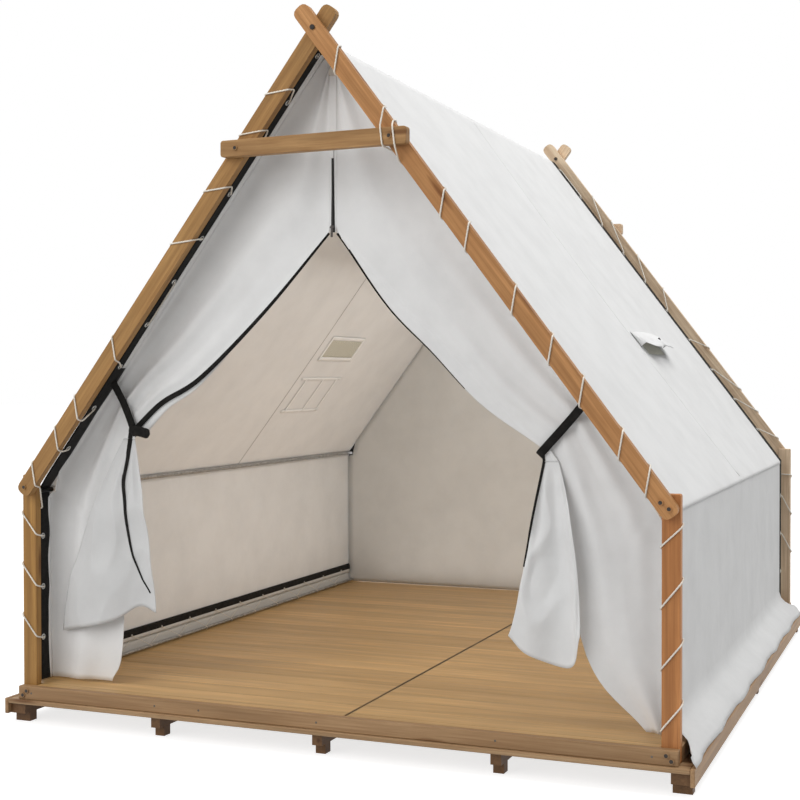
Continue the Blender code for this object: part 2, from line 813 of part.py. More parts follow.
def wall_profile():
    """Side wall from the eave down and its skirt out over the rim: x and height above deck."""
    top = CLOTH_EAVE - CLOTH / 2 - GAP
    points = [(WALL_X, top), (WALL_X, 0.62), (WALL_X, 0.34), (WALL_X, WALL_FOOT)]
    points.append((WALL_X + 0.10 * SKIRT_OUT, 0.050))
    points.append((WALL_X + 0.30 * SKIRT_OUT, 0.026))
    points.append((WALL_X + 0.52 * SKIRT_OUT, 0.010))
    points.append((WALL_X + 0.80 * SKIRT_OUT, -0.018))
    points.append((WALL_X + SKIRT_OUT, FASCIA_TOP + CLOTH / 2 + 2 * GAP))
    return points


def add_walls(material):
    """The skirt runs further forward than the wall, past the outer side of the posts."""
    half = HALF_DEPTH - PANEL_START
    along = 18
    profile = wall_profile()
    for name, side in SIDES:
        rows = []
        for x, height in profile:
            flare = max(0.0, (x - WALL_X) / SKIRT_OUT)
            past_post = min(1.0, max(0.0, flare - 0.5) / 0.12)
            row = []
            for j in range(along + 1):
                share = 2 * j / along - 1
                reach = half + past_post * (SKIRT_FORWARD[name] if share < 0 else SKIRT_BACK)
                ripple = SKIRT_RIPPLE * flare * math.cos(math.pi * SKIRT_RIPPLES * share)
                row.append((side * (x + ripple), reach * share, DECK_HEIGHT + height))
            rows.append(row)
        sheet(f"side_wall_{name}", rows, CLOTH, material)


def gable_corner(side, seam=GAP):
    """Inner outline of roof and wall, kept clear of the eave pole and of the ridge pole."""
    inset = CLOTH / 2 + seam
    wall = WALL_X - inset
    pole_x, pole_height = eave_pole_place()
    clear = 2 * POLE_RADIUS
    roof_x = pole_x - 2 * clear
    top_x = 2.2 * POLE_RADIUS

    def roof_height(x):
        return CLOTH_RIDGE - x * math.tan(ROOF_ANGLE) - inset / ROOF_COS - GAP

    points = [(wall, pole_height - clear), (pole_x - clear, pole_height - 0.6 * clear),
              (roof_x, roof_height(roof_x)), (top_x, roof_height(top_x))]
    return [(side * x, z) for x, z in points]


def add_rear_wall(material):
    foot = WALL_X - CLOTH / 2 - GAP
    right = [(foot, 0.006)] + gable_corner(1)
    outline = right + [(-x, z) for x, z in reversed(right)]
    turn = Matrix.Rotation(math.pi / 2, 4, "X")
    place = Matrix.Translation((0, HALF_DEPTH - FRONT_CLOTH_Y, DECK_HEIGHT)) @ turn
    outline_board("rear_wall", [outline], CLOTH, place, material, edge=0.0)


# Edge webbing and lacing

def webbing_section():
    """A band that follows wall, eave and ridge of the cloth, drawn in X and height."""
    half = WEBBING / 2
    foot = 0.012

    def line(offset):
        wall = WALL_X + offset
        ridge = CLOTH_RIDGE + offset / ROOF_COS
        return [(wall, foot), (wall, ridge - wall * math.tan(ROOF_ANGLE)), (0.0, ridge)]

    outer, inner = line(half), line(-half)
    right_out = outer[:2]
    right_in = inner[:2]
    return (right_out + [outer[2]] + [(-x, z) for x, z in reversed(right_out)]
            + [(-x, z) for x, z in right_in] + [inner[2]] + list(reversed(right_in)))


def post_eyelet_places(side):
    """Each eyelet's centre in a frame's own places, with the outward normal of the webbing."""
    heights = [POST_EYELET_HEIGHT + i * LACE_PITCH for i in range(POST_EYELETS)]
    return [(Vector((side * WALL_X, EYELET_Y, z)), Vector((side, 0, 0))) for z in heights]


def rafter_eyelet_places(side):
    outward = Vector((side * ROOF_SIN, 0, ROOF_COS))
    places = []
    for i in range(RAFTER_EYELETS):
        up = RAFTER_EYELET_START + i * LACE_PITCH
        x = RAFTER_RUN - up * ROOF_COS - CLOTH_DROP * ROOF_SIN
        z = EAVE_HEIGHT + up * ROOF_SIN - CLOTH_DROP * ROOF_COS
        places.append((Vector((side * x, EYELET_Y, z)), outward))
    return places


# How far above an eyelet the hand-tied lace comes round the post, and then round the rafter
LACE_RISE = {-1: 0.015, 1: 0.085}
RIGHT_CROSSINGS = (0.087, 0.026, 0.045, 0.015, 0.027, 0.112, 0.050, 0.0, 0.0, 0.110)
LEFT_LOWER_CROSSINGS = (0.042, 0.014, -0.045, 0.050)
LEFT_UPPER_CROSSINGS = (0.150, 0.190, 0.244, 0.215)
# Strands over the tie: place beside the tie's bolt, place along the rafter below the tie
TIE_STRANDS = {7: (0.020, -0.050), 8: (-0.034, 0.020)}


def add_webbing(rear, material):
    name = f"{FRAMES[rear][0]}_edge_webbing"
    turn = Matrix(((1, 0, 0), (0, 0, 1), (0, -1, 0))).transposed().to_4x4()
    middle = WEBBING_START + WEBBING_WIDTH / 2
    place = frame_matrix(rear) @ Matrix.Translation((0, middle, 0)) @ turn
    made = outline_board(name, [webbing_section()], WEBBING_WIDTH, place, material, edge=0.0)
    work = bmesh.new()
    for side in (-1, 1):
        for centre, outward in post_eyelet_places(side) + rafter_eyelet_places(side):
            reach = outward * 4 * WEBBING
            rod_mesh(work, frame_matrix(rear) @ (centre - reach),
                     frame_matrix(rear) @ (centre + reach), EYELET_RADIUS, 6)
    combine(made, tool_object(name + "_eyelets", work), "DIFFERENCE")


def lace_corners(place, inner, outer):
    """The four places where a crossing bends round the timber, from its inner back edge over
    its face to its outer back edge; inner and outer are distances along the member."""
    clear = LACE_RADIUS + GAP
    near = TIMBER_FACE / 2 + clear
    deep = TIMBER_THICK / 2 + clear
    return [place @ Vector((inner - LACE_CORNER, near, -deep)), place @ Vector((inner, near, deep)),
            place @ Vector((outer, -near, deep)), place @ Vector((outer + LACE_CORNER, -near, -deep))]


def outer_first_corners(place, outer, inner):
    """The same crossing made the other way, low on the outer edge and high on the inner one."""
    clear = LACE_RADIUS + GAP
    near = TIMBER_FACE / 2 + clear
    deep = TIMBER_THICK / 2 + clear
    return [place @ Vector((outer - LACE_CORNER, -near, -deep)), place @ Vector((outer, -near, deep)),
            place @ Vector((inner, near, deep)), place @ Vector((inner + LACE_CORNER, near, -deep))]


def eyelet_sides(eyelet):
    centre, outward = eyelet
    step = outward * (WEBBING / 2 + LACE_RADIUS + 0.002)
    return centre - step, centre + step


def over_tie(x_low, x_high):
    """Where a strand bends over the lower and the upper front edge of the collar tie."""
    clear = LACE_RADIUS + GAP
    reach = TIE_FACE / 2 + clear
    local = tie_matrix().inverted()
    places = []
    for x, height in ((x_low, -reach), (x_high, reach)):
        places.append(local.inverted() @ Vector((x, height, TIMBER_THICK / 2 + clear)))
    return places


def lace_points(side):
    """The whole lace of one side in a frame's own places, from the post's foot to the ridge.

    On the right side every crossing rises from the inner edge of the timber to the outer one,
    and two of them pass over the collar tie. On the left side the lace changes over half way
    up, runs past one eyelet inside and then rises from the outer edge to the inner one.
    """
    rafter = rafter_eyelet_places(side)
    if side > 0:
        return post_points(side) + right_rafter_points(rafter)
    return post_points(side) + left_rafter_points(rafter)


def post_points(side):
    """Through every eyelet from outside, over the post's front, at last behind it to the rafter."""
    place, rise = post_matrix(side), LACE_RISE[side]
    heights = [POST_EYELET_HEIGHT + i * LACE_PITCH + rise for i in range(POST_EYELETS)]
    points = []
    if side > 0:
        first = heights[0] - LACE_PITCH
        points += lace_corners(place, first, first + POST_CROSSING)
    for eyelet, height in zip(post_eyelet_places(side), heights):
        outer = min(height + POST_CROSSING, POST_LACE_TOP)
        points += reversed(eyelet_sides(eyelet))
        points += lace_corners(place, height, outer)
    clear = LACE_RADIUS + GAP
    points.append(place @ Vector((outer + LACE_CORNER + clear, TIMBER_FACE / 2 + clear,
                                  -TIMBER_THICK / 2 - clear)))
    return points


def eyelet_distance(index):
    return RAFTER_EYELET_START + index * LACE_PITCH


def right_rafter_points(rafter):
    place = rafter_matrix(1)
    points = []
    for i, past_eyelet in enumerate(RIGHT_CROSSINGS):
        inner = eyelet_distance(i - 1) + past_eyelet
        corners = lace_corners(place, inner, inner + RAFTER_CROSSING)
        if i in TIE_STRANDS:
            corners = tie_strand_corners(place, *TIE_STRANDS[i])
        points += corners
        points += reversed(eyelet_sides(rafter[i]))
    return points


def tie_strand_corners(place, bolt_side, under_tie):
    """A crossing whose strand lies on the tie's front, a little to one side of its bolt."""
    x = tie_bolt_x() + bolt_side
    tie_low, tie_high = over_tie(x + LACE_ON_TIE / 2, x - LACE_ON_TIE / 2)
    inner = (TIE_HEIGHT - TIE_FACE / 2 - EAVE_HEIGHT) / ROOF_SIN + under_tie
    corners = lace_corners(place, inner, inner + TIE_CROSSING)
    if under_tie < 0:
        return corners[:2] + [tie_low, tie_high] + corners[2:]
    return corners[:1] + [tie_low, tie_high] + corners[2:]


def left_rafter_points(rafter):
    place = rafter_matrix(-1)
    points = []
    for i, past_eyelet in enumerate(LEFT_LOWER_CROSSINGS):
        inner = eyelet_distance(i - 1) + past_eyelet
        points += lace_corners(place, inner, inner + RAFTER_CROSSING)
        points += reversed(eyelet_sides(rafter[i]))
    changeover = len(LEFT_LOWER_CROSSINGS)
    points += eyelet_sides(rafter[changeover])
    for i, past_eyelet in enumerate(LEFT_UPPER_CROSSINGS, changeover + 1):
        outer = eyelet_distance(i - 1) + past_eyelet
        points += outer_first_corners(place, outer, outer + RAFTER_CROSSING)
        points += eyelet_sides(rafter[i])
    points += reversed(eyelet_sides(rafter[changeover + len(LEFT_UPPER_CROSSINGS) + 1]))
    return points


def add_laces(rear, material):
    for side in (-1, 1):
        name = f"{FRAMES[rear][0]}_{frame_side_name(rear, side)}_lace"
        points = [frame_matrix(rear) @ point for point in lace_points(side)]
        rope(name, points, LACE_RADIUS, material)


def floor_eyelet_y(index):
    first = floor_strip_centre() - floor_strip_half_length() + FLOOR_EYELET_PITCH / 2
    return first + index * FLOOR_EYELET_PITCH


def floor_strip_x():
    return WALL_X - FLOOR_STRIP_STANDOFF


def add_floor_strips(material):
    """A black strip sewn along the foot of the wall inside, standing off it for its lacing."""
    wall_face = WALL_X - CLOTH / 2 - GAP
    inner = floor_strip_x() - WEBBING / 2
    outer = floor_strip_x() + WEBBING / 2
    low = FLOOR_EYELET_HEIGHT - FLOOR_STRIP_HEIGHT / 2
    top = FLOOR_EYELET_HEIGHT + FLOOR_STRIP_HEIGHT / 2 + 0.008
    centre = floor_strip_centre()
    half = floor_strip_half_length()
    for name, side in SIDES:
        section = [(side * x, z) for x, z in ((inner, low), (outer, low), (outer, top - WEBBING),
                   (wall_face, top - WEBBING), (wall_face, top), (inner, top))]
        made = extrude_along_y(f"floor_strip_{name}", section, centre - half, centre + half,
                               material, edge=0.0)
        work = bmesh.new()
        for index in range(FLOOR_EYELETS):
            y = floor_eyelet_y(index)
            z = DECK_HEIGHT + FLOOR_EYELET_HEIGHT
            rod_mesh(work, (side * (inner - 0.01), y, z), (side * (outer + 0.008), y, z),
                     FLOOR_EYELET_RADIUS, 6)
        combine(made, tool_object(made.name + "_eyelets", work), "DIFFERENCE")


def floor_lace_points(side):
    """Down from each eyelet, under the rail and up behind the strip to the next eyelet."""
    stand = WEBBING / 2 + FLOOR_LACE_RADIUS + 2 * GAP
    inside = floor_strip_x() - stand
    outside = floor_strip_x() + stand
    below_strip = FLOOR_EYELET_HEIGHT - FLOOR_STRIP_HEIGHT / 2 - 0.008
    turn = rail_turn_radius()
    points = []
    for index in range(FLOOR_EYELETS):
        y = floor_eyelet_y(index)
        points += [(outside, y, FLOOR_EYELET_HEIGHT), (inside, y, FLOOR_EYELET_HEIGHT)]
        if index == FLOOR_EYELETS - 1:
            break
        middle = y + FLOOR_EYELET_PITCH / 2
        for step, degrees in enumerate((165, 210, 255, 300, 345)):
            x = rail_x() + turn * math.cos(math.radians(degrees))
            z = rail_height() + turn * math.sin(math.radians(degrees))
            points.append((x, middle + 0.003 * (step - 2), z))
        points.append((outside, y + 0.93 * FLOOR_EYELET_PITCH, below_strip))
    return [(side * x, y, DECK_HEIGHT + z) for x, y, z in points]


def add_floor_laces(material):
    for name, side in SIDES:
        rope(f"floor_lace_{name}", floor_lace_points(side), FLOOR_LACE_RADIUS, material, 0)


# Entrance: zip, slider, door leaves, hanging flaps and tie-back straps

def front_place(x, y, height):
    """A place at the entrance: y back from the posts' face, height above the deck."""
    return Vector((x, y - HALF_DEPTH, DECK_HEIGHT + height))


def add_zip(material):
    """A sewn tape up the seam of the leaves, with a raised coil on its front up to the stop."""
    tape, neck, head = ZIP_TAPE / 2, ZIP_NECK / 2, ZIP_HEAD / 2
    front = -ZIP_TAPE_THICK / 2
    under = front - ZIP_NECK_DEEP
    face = under - ZIP_HEAD_DEEP
    low = front_place(-tape, FRONT_CLOTH_Y + front, ZIP_OPEN_HEIGHT)
    high = front_place(tape, FRONT_CLOTH_Y - front, ZIP_TAPE_TOP)
    made = box("zip_coil", low, high, material, edge=0.0)
    right = [(neck, 0.0), (neck, under), (head, under), (head, face)]
    outline = right + [(-x, y) for x, y in reversed(right)]
    length = ZIP_TOP - ZIP_OPEN_HEIGHT - 2 * GAP
    work = bmesh.new()
    layer = [work.verts.new(front_place(x, FRONT_CLOTH_Y + y, ZIP_OPEN_HEIGHT + GAP))
             for x, y in outline]
    drawn = bmesh.ops.extrude_face_region(work, geom=[work.faces.new(layer)])
    moved = [item for item in drawn["geom"] if isinstance(item, bmesh.types.BMVert)]
    bmesh.ops.translate(work, verts=moved, vec=(0, 0, length))
    combine(made, tool_object("zip_coil_teeth", work), "UNION")


def slider_centre():
    y = FRONT_CLOTH_Y - ZIP_TAPE_THICK / 2 - ZIP_NECK_DEEP - ZIP_HEAD_DEEP / 2
    return front_place(0, y, ZIP_OPEN_HEIGHT + SLIDER_HEIGHT / 2 + 0.004)


def pull_pivot():
    forward = ZIP_HEAD_DEEP / 2 + SLIDER_PLAY + SLIDER_WALL + 0.0045
    return slider_centre() + Vector((0, -forward, 0.004))


def add_slider(material):
    """A C-shaped slider that runs on the coil, with two lugs that hold the pull's pin."""
    half = ZIP_HEAD / 2 + SLIDER_PLAY
    outer = half + SLIDER_WALL
    back = ZIP_HEAD_DEEP / 2 + SLIDER_PLAY
    lip = back + 0.0012
    neck = ZIP_NECK / 2 + SLIDER_PLAY
    right = [(neck, back), (half, back), (half, -back), (0.0, -back)]
    outside = [(0.0, -back - SLIDER_WALL), (outer, -back - SLIDER_WALL), (outer, lip), (neck, lip)]
    outline = right[:3] + [(-x, y) for x, y in reversed(right[:3])]
    outline += [(-x, y) for x, y in reversed(outside[1:])] + outside[1:]
    place = Matrix.Translation(slider_centre())
    made = outline_board("zip_slider", [outline], SLIDER_HEIGHT, place, material, edge=0.0)
    pivot = pull_pivot()
    work = bmesh.new()
    for turn in (-1, 1):
        inner = turn * (PULL_WIDTH / 2 + 0.0006)
        low, high = sorted((inner, inner + turn * 0.0018))
        box_mesh(work, (low, pivot.y - 0.003, pivot.z - 0.003),
                 (high, slider_centre().y - back - 0.001, pivot.z + 0.003))
    combine(made, tool_object("zip_slider_lugs", work), "UNION")
    work = bmesh.new()
    rod_mesh(work, (-PULL_WIDTH / 2 - 0.0012, pivot.y, pivot.z),
             (PULL_WIDTH / 2 + 0.0012, pivot.y, pivot.z), PULL_PIN_RADIUS, 8)
    combine(made, tool_object("zip_slider_pin", work), "UNION")
    return made


def add_pull(material):
    """The pull's flat tab with an eye that turns on the slider's pin."""
    eye = PULL_PIN_RADIUS + 0.0009
    outline = rounded_bar(-PULL_LENGTH, 0.0036, PULL_WIDTH / 2, 0.0022, 2)
    turn = Matrix(((0, 0, 1), (1, 0, 0), (0, 1, 0))).transposed().to_4x4()
    place = Matrix.Translation(pull_pivot()) @ turn
    made = outline_board("zip_pull", [outline], PULL_THICK, place, material, edge=0.0)
    work = bmesh.new()
    rod_mesh(work, pull_pivot() - Vector((PULL_WIDTH / 2, 0, 0)),
             pull_pivot() + Vector((PULL_WIDTH / 2, 0, 0)), eye + 0.0012, 12)
    combine(made, tool_object("zip_pull_barrel", work), "UNION")
    work = bmesh.new()
    rod_mesh(work, pull_pivot() - Vector((PULL_WIDTH, 0, 0)),
             pull_pivot() + Vector((PULL_WIDTH, 0, 0)), eye, 12)
    combine(made, tool_object("zip_pull_eye", work), "DIFFERENCE")


# Where each leaf is tied back, and its free edge from the slider down to there
TIE_BACK = {"left": (-0.985, 1.170), "right": (0.930, 1.110)}
LEAF_EDGE = {"left": ((-0.321, 1.694), (-0.645, 1.402), (-0.845, 1.290)),
             "right": ((0.242, 1.704), (0.443, 1.506), (0.660, 1.289))}
LEAF_LOW_EDGE = {"left": ((-1.030, 1.050), (-1.056, 0.205), (-1.116, 0.016)),
                 "right": ((0.970, 0.980), (1.100, 0.300), (1.342, 0.016))}
FLAP_HEM = {"left": ((-1.370, 0.235), (-1.088, 0.299), (-0.891, 0.420), (-0.855, 0.350)),
            "right": ((0.792, 0.364), (0.876, 0.289), (1.046, 0.250), (1.090, 0.380))}
STRAP_ANCHOR = {"left": (-1.060, 1.356), "right": (1.105, 1.300)}
BUNCH = 0.06
FLAP_SPREAD = {"left": (0.55, 0.75), "right": (1.15, 0.60)}
FLAP_DROP = 0.045


def leaf_outer_lines(name, side):
    """Where the leaf is sewn to roof and wall, above and below the strap's anchor."""
    corner = gable_corner(side, LEAF_SEAM)
    anchor_x = abs(STRAP_ANCHOR[name][0])
    slope = (anchor_x - abs(corner[3][0])) / (abs(corner[2][0]) - abs(corner[3][0]))
    anchor = (side * anchor_x, corner[3][1] + slope * (corner[2][1] - corner[3][1]))
    top = (side * (ZIP_TAPE / 2 + GAP), corner[3][1] - 0.012)
    foot = (corner[0][0], 0.012)
    return (top, corner[3], anchor), (anchor, corner[2], corner[1], corner[0], foot)


def leaf_inner_lines(name, side):
    """The free edge: down beside the zip and out to the tie-back, then on to the floor."""
    beside_zip = side * (ZIP_TAPE / 2 + GAP)
    upper = ((beside_zip, ZIP_TAPE_TOP - 0.02), (beside_zip, ZIP_OPEN_HEIGHT)) + LEAF_EDGE[name]
    return upper + (TIE_BACK[name],), (TIE_BACK[name],) + LEAF_LOW_EDGE[name]


def leaf_rows(name, side):
    """Folds run down the leaf, deepest where it is drawn together, and calm under the flap."""
    across = 12
    flap_top = flap_axis(name, side)
    rows = []
    for part, (outer, inner) in enumerate(zip(leaf_outer_lines(name, side),
                                              leaf_inner_lines(name, side))):
        outer = [Vector((x, 0.0, z)) for x, z in outer]
        inner = [Vector((x, 0.0, z)) for x, z in inner]
        for share in stations(outer, 0.15)[part:]:
            a, b = polyline_point(outer, share), polyline_point(inner, share)
            drawn = math.cos(math.pi / 2 * (1.0 - share if part == 0 else 0.8 * share))
            row = []
            for j in range(across + 1):
                v = j / across
                place = a.lerp(b, v)
                fold = LEAF_FOLD * math.sin(2 * math.pi * LEAF_FOLDS * v) * math.sin(math.pi * v)
                flat = front_place(place.x, FRONT_CLOTH_Y, place.z)
                calm = min(1.0, ((flat - flap_top).length / 0.16) ** 2)
                row.append(front_place(place.x, FRONT_CLOTH_Y + fold * drawn * calm, place.z))
            rows.append(row)
    return rows


def add_leaves(material):
    for name, side in SIDES:
        sheet(f"door_leaf_{name}", leaf_rows(name, side), CLOTH, material)


def flap_axis(name, side):
    """A point on the line across the tie-back that a flap swings about."""
    x, height = TIE_BACK[name]
    y = FRONT_CLOTH_Y - CLOTH - FLAP_STANDOFF
    return front_place(x + side * BUNCH / 2, y, height - FLAP_DROP)


def flap_rows(name, side):
    """The loose part of a leaf hangs in folds from the tie-back, widening to its hem."""
    axis = flap_axis(name, side)
    hem = [Vector((x, 0.0, z)) for x, z in FLAP_HEM[name]]
    down, across = 10, 12
    rows = []
    for i in range(down + 1):
        w = i / down
        row = []
        for j in range(across + 1):
            v = j / across
            top_x = axis.x + BUNCH * (v - 0.5)
            end = polyline_point(hem, v)
            first, last = FLAP_SPREAD[name]
            x = top_x + (end.x - top_x) * w ** (first + (last - first) * v)
            z = axis.z + (DECK_HEIGHT + end.z - axis.z) * w
            fold = FLAP_FOLD * math.sin(2 * math.pi * FLAP_FOLDS * v) * min(1.0, 2.2 * w)
            bulge = FLAP_BULGE * min(1.0, 2.5 * w)
            row.append((x, axis.y - bulge - fold * 0.9, z))
        rows.append(row)
    return rows


def add_flaps(material):
    for name, side in SIDES:
        made = sheet(f"door_flap_{name}", flap_rows(name, side), CLOTH, material)
        set_origin(made, flap_axis(name, side))


def band_outline(route, thickness):
    """Closed outline of a thin band whose middle follows a route in a plane."""
    route = [Vector(place) for place in route]
    left, right = [], []
    for i, place in enumerate(route):
        before = (place - route[max(i - 1, 0)]).normalized()
        after = (route[min(i + 1, len(route) - 1)] - place).normalized()
        along = (before + after).normalized()
        straight = before if after.length == 0 else after
        widen = thickness / 2 / max(0.5, along.dot(straight))
        across = Vector((-along.y, along.x)) * widen
        left.append(place + across)
        right.append(place - across)
    return left + right[::-1]


def strap_route(length):
    """In front of the leaf, round its drawn-together edge and back behind it."""
    deep = STRAP_HALF_DEEP - STRAP / 2
    route = [(-STRAP_RISE, STRAP_FRONT_Y - FRONT_CLOTH_Y), (0.6 * length, -deep)]
    for step in range(7):
        angle = math.radians(-90 + 30 * step)
        route.append((length + deep * math.cos(angle), deep * math.sin(angle)))
    return route + [(-STRAP_RISE, deep)]


def add_straps(material):
    """Each strap is a hairpin whose two ends are cut off along the underside of the roof."""
    for name, side in SIDES:
        start = front_place(STRAP_ANCHOR[name][0], FRONT_CLOTH_Y, STRAP_ANCHOR[name][1])
        end = front_place(TIE_BACK[name][0], FRONT_CLOTH_Y, TIE_BACK[name][1])
        along = (end - start).normalized()
        depth = Vector((0, 1, 0))
        turn = Matrix((along, depth, along.cross(depth))).transposed().to_4x4()
        place = Matrix.Translation(start) @ turn
        outline = band_outline(strap_route((end - start).length + STRAP_REACH), STRAP)
        made = outline_board(f"tie_back_strap_{name}", [outline], STRAP_WIDTH, place, material,
                             edge=0.0)
        work = bmesh.new()
        box_mesh(work, (-0.3, -0.3, -CLOTH / 2 - GAP - 0.04 * ROOF_SAG), (0.3, 0.3, 0.2))
        lean = Matrix.Rotation(side * ROOF_ANGLE, 4, "Y")
        roof_height = DECK_HEIGHT + CLOTH_RIDGE - abs(start.x) * math.tan(ROOF_ANGLE)
        on_roof = Matrix.Translation((start.x, start.y, roof_height))
        bmesh.ops.transform(work, matrix=on_roof @ lean, verts=work.verts)
        combine(made, tool_object(made.name + "_roof", work), "DIFFERENCE")


# Assembly

def build_deck():
    wood, boards, dark = timber(), planks(), sole_timber()
    add_front_and_rear_rims(wood)
    add_side_rims(wood)
    add_soles(dark)
    add_fascias(wood)
    add_floor_panels(boards)
    add_bearers(dark)


def build_frames():
    wood, bolt = timber(), dark_steel()
    for rear in (False, True):
        add_posts(rear, wood)
        add_rafters(rear, wood)
        add_tie(rear, wood)
        add_apex_bolt(rear, bolt)


def build_canvas():
    cloth, webbing, cord, steel = canvas(), black_webbing(), white_rope(), grey_steel()
    add_poles(steel)
    add_floor_rails(steel)
    add_roofs(cloth)
    add_vent_hoods(cloth)
    add_walls(cloth)
    add_rear_wall(cloth)
    for rear in (False, True):
        add_webbing(rear, webbing)
        add_laces(rear, cord)
    add_floor_strips(webbing)
    add_floor_laces(cord)


def build_entrance():
    cloth, webbing, steel = canvas(), black_webbing(), grey_steel()
    add_zip(webbing)
    add_slider(steel)
    add_pull(steel)
    add_leaves(cloth)
    add_flaps(cloth)
    add_straps(webbing)


clear_scene()
PARTS = make_collection("a_frame_glamping_tent")
TOOLS = make_collection("cutters")
build_deck()
build_frames()
build_canvas()
build_entrance()
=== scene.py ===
"""Looks of the a-frame glamping tent: canvas, rope, webbing, timber finish, light and camera.

Units are metres in the frame of the CAD model, +Z is up and the entrance faces -Y.
"""

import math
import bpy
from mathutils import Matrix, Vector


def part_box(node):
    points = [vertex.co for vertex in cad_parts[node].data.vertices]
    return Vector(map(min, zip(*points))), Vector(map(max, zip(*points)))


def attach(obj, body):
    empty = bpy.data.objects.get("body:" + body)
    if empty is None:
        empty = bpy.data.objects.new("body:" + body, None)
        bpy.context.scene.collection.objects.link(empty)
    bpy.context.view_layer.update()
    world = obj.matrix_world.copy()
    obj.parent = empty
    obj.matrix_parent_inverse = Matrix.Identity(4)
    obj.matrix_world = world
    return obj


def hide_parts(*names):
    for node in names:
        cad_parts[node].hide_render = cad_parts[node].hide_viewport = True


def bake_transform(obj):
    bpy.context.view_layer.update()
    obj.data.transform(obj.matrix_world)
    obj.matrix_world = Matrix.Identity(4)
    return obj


bl_info = {
    "name": "A-frame glamping tent",
    "version": (1, 0, 0),
    "blender": (4, 5, 0),
    "location": "3D View > Sidebar > Tent",
    "description": "Dresses the timber frames and the deck with laced canvas",
    "category": "Object",
}

import bmesh
import bpy
from mathutils import Matrix, Vector, noise

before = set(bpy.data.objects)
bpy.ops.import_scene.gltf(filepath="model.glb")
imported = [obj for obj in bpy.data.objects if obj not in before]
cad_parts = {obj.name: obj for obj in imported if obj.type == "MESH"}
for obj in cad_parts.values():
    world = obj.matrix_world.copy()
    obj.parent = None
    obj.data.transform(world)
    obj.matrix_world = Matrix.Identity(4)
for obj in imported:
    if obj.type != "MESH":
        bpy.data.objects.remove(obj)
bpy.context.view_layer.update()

# Sizes read from the frame
HALF_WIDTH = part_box("front_rim")[1].x
HALF_DEPTH = -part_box("front_left_post")[0].y
DECK_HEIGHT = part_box("floor_panel_left")[1].z
WALL_X = -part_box("side_wall_left")[1].x + 0.002

# Sizes of the timber, heights above the deck
EAVE_HEIGHT = 0.878
RIDGE_HEIGHT = 2.839
TIMBER_FACE = 0.072
TIMBER_THICK = 0.038
RAFTER_CORNER = 0.026
TIE_DROP = 0.473
TIE_FACE = 0.070
RIM_HEIGHT = 0.060
GAP = 0.0003
FLOOR_BOARDS = 26
BOARD_JOINT = 0.0030
# Places of the screws along the front rim
RIM_SCREWS = (-1.43, -0.78, -0.56, 0.0, 0.78, 1.40)

# Sizes of the canvas
CAD_CLOTH = 0.004
CLOTH = 0.0016
CLOTH_DROP = 0.018
WEBBING_START = 0.048
WEBBING_WIDTH = 0.077
WEBBING = 0.003
WEBBING_DRAWN = 0.009
# How close the webbing's ribs lie, as the scale of a wave texture
WEBBING_RIBS = 260.0 / 6.2832
POLE_RADIUS = 0.011
TAPE = 0.0034
# How far out and down the roof's edge laps over the wall
EAVE_LAP = ((0.0024, 0.004), (0.0028, 0.018))
FRONT_CLOTH_Y = 0.140
SKIRT_OUT = 0.116
SKIRT_FORWARD = {"left": 0.030, "right": 0.165}
SKIRT_BACK = 0.080
SKIRT_FOOT = -0.0554
# Where the skirt bends: share of its reach, and height above the deck
SKIRT_BENDS = ((0.0, 0.085), (0.10, 0.050), (0.30, 0.026), (0.52, 0.010), (0.80, -0.018))

# Sizes of the lacing
LACE_PITCH = 0.233
EYELET_Y = 0.075
POST_EYELET_HEIGHT = 0.208
POST_EYELETS = 3
RAFTER_EYELET_START = 0.266
RAFTER_EYELETS = 10
LACE_RADIUS = 0.0040
LACE_CORNER = 0.012
# Length of one turn of the rope's strands, in rope radii
ROPE_LAY = 11
LACE_RISE = {-1: 0.015, 1: 0.085}
POST_CROSSING = 0.100
POST_LACE_TOP = 0.835
RAFTER_CROSSING = 0.075
TIE_CROSSING = 0.146
LACE_ON_TIE = 0.010
FLOOR_EYELETS = 11
FLOOR_EYELET_PITCH = 0.285
FLOOR_EYELET_HEIGHT = 0.088
FLOOR_STRIP_RISE = 0.031
FLOOR_STRIP_STANDOFF = 0.013
FLOOR_LACE_RADIUS = 0.0022
RAIL_RADIUS = 0.008
RAIL_INSET = 0.034

# Sizes of the entrance
ZIP_TAPE_HALF = 0.015
ZIP_TAPE_TOP = RIDGE_HEIGHT - 0.159
ZIP_OPEN_HEIGHT = RIDGE_HEIGHT - 0.821
STRAP_HALF_DEEP = 0.021
STRAP_WIDTH = 0.035
STRAP_PAST_EDGE = 0.012
REAR_FOOT = 0.003
LEAF_CURL = 0.013
# Room for the folds: a leaf's to both sides of its plane, a flap's in front of its hinge
LEAF_ROOM = 0.017
FLAP_ROOM = (0.002, 0.056)
# Points of the leaves and flaps: place across the tent and height above the deck
TIE_BACK = {"left": (-0.985, 1.170), "right": (0.930, 1.110)}
STRAP_ANCHOR = {"left": (-1.060, 1.356), "right": (1.105, 1.300)}
LEAF_EDGE = {"left": ((-0.321, 1.694), (-0.645, 1.402), (-0.845, 1.290)),
             "right": ((0.242, 1.704), (0.443, 1.506), (0.660, 1.289))}
LEAF_LOW_EDGE = {"left": ((-1.030, 1.050), (-1.056, 0.205), (-1.116, 0.016)),
                 "right": ((0.970, 0.980), (1.100, 0.300), (1.342, 0.016))}
FLAP_HEM = {"left": ((-1.370, 0.235), (-1.088, 0.299), (-0.950, 0.372), (-0.855, 0.350)),
            "right": ((0.792, 0.364), (0.876, 0.289), (1.046, 0.250), (1.090, 0.380))}
# Width of the cloth gathered at the strap, and how far below the strap the flap starts
BUNCH = 0.06
FLAP_DROP = 0.045
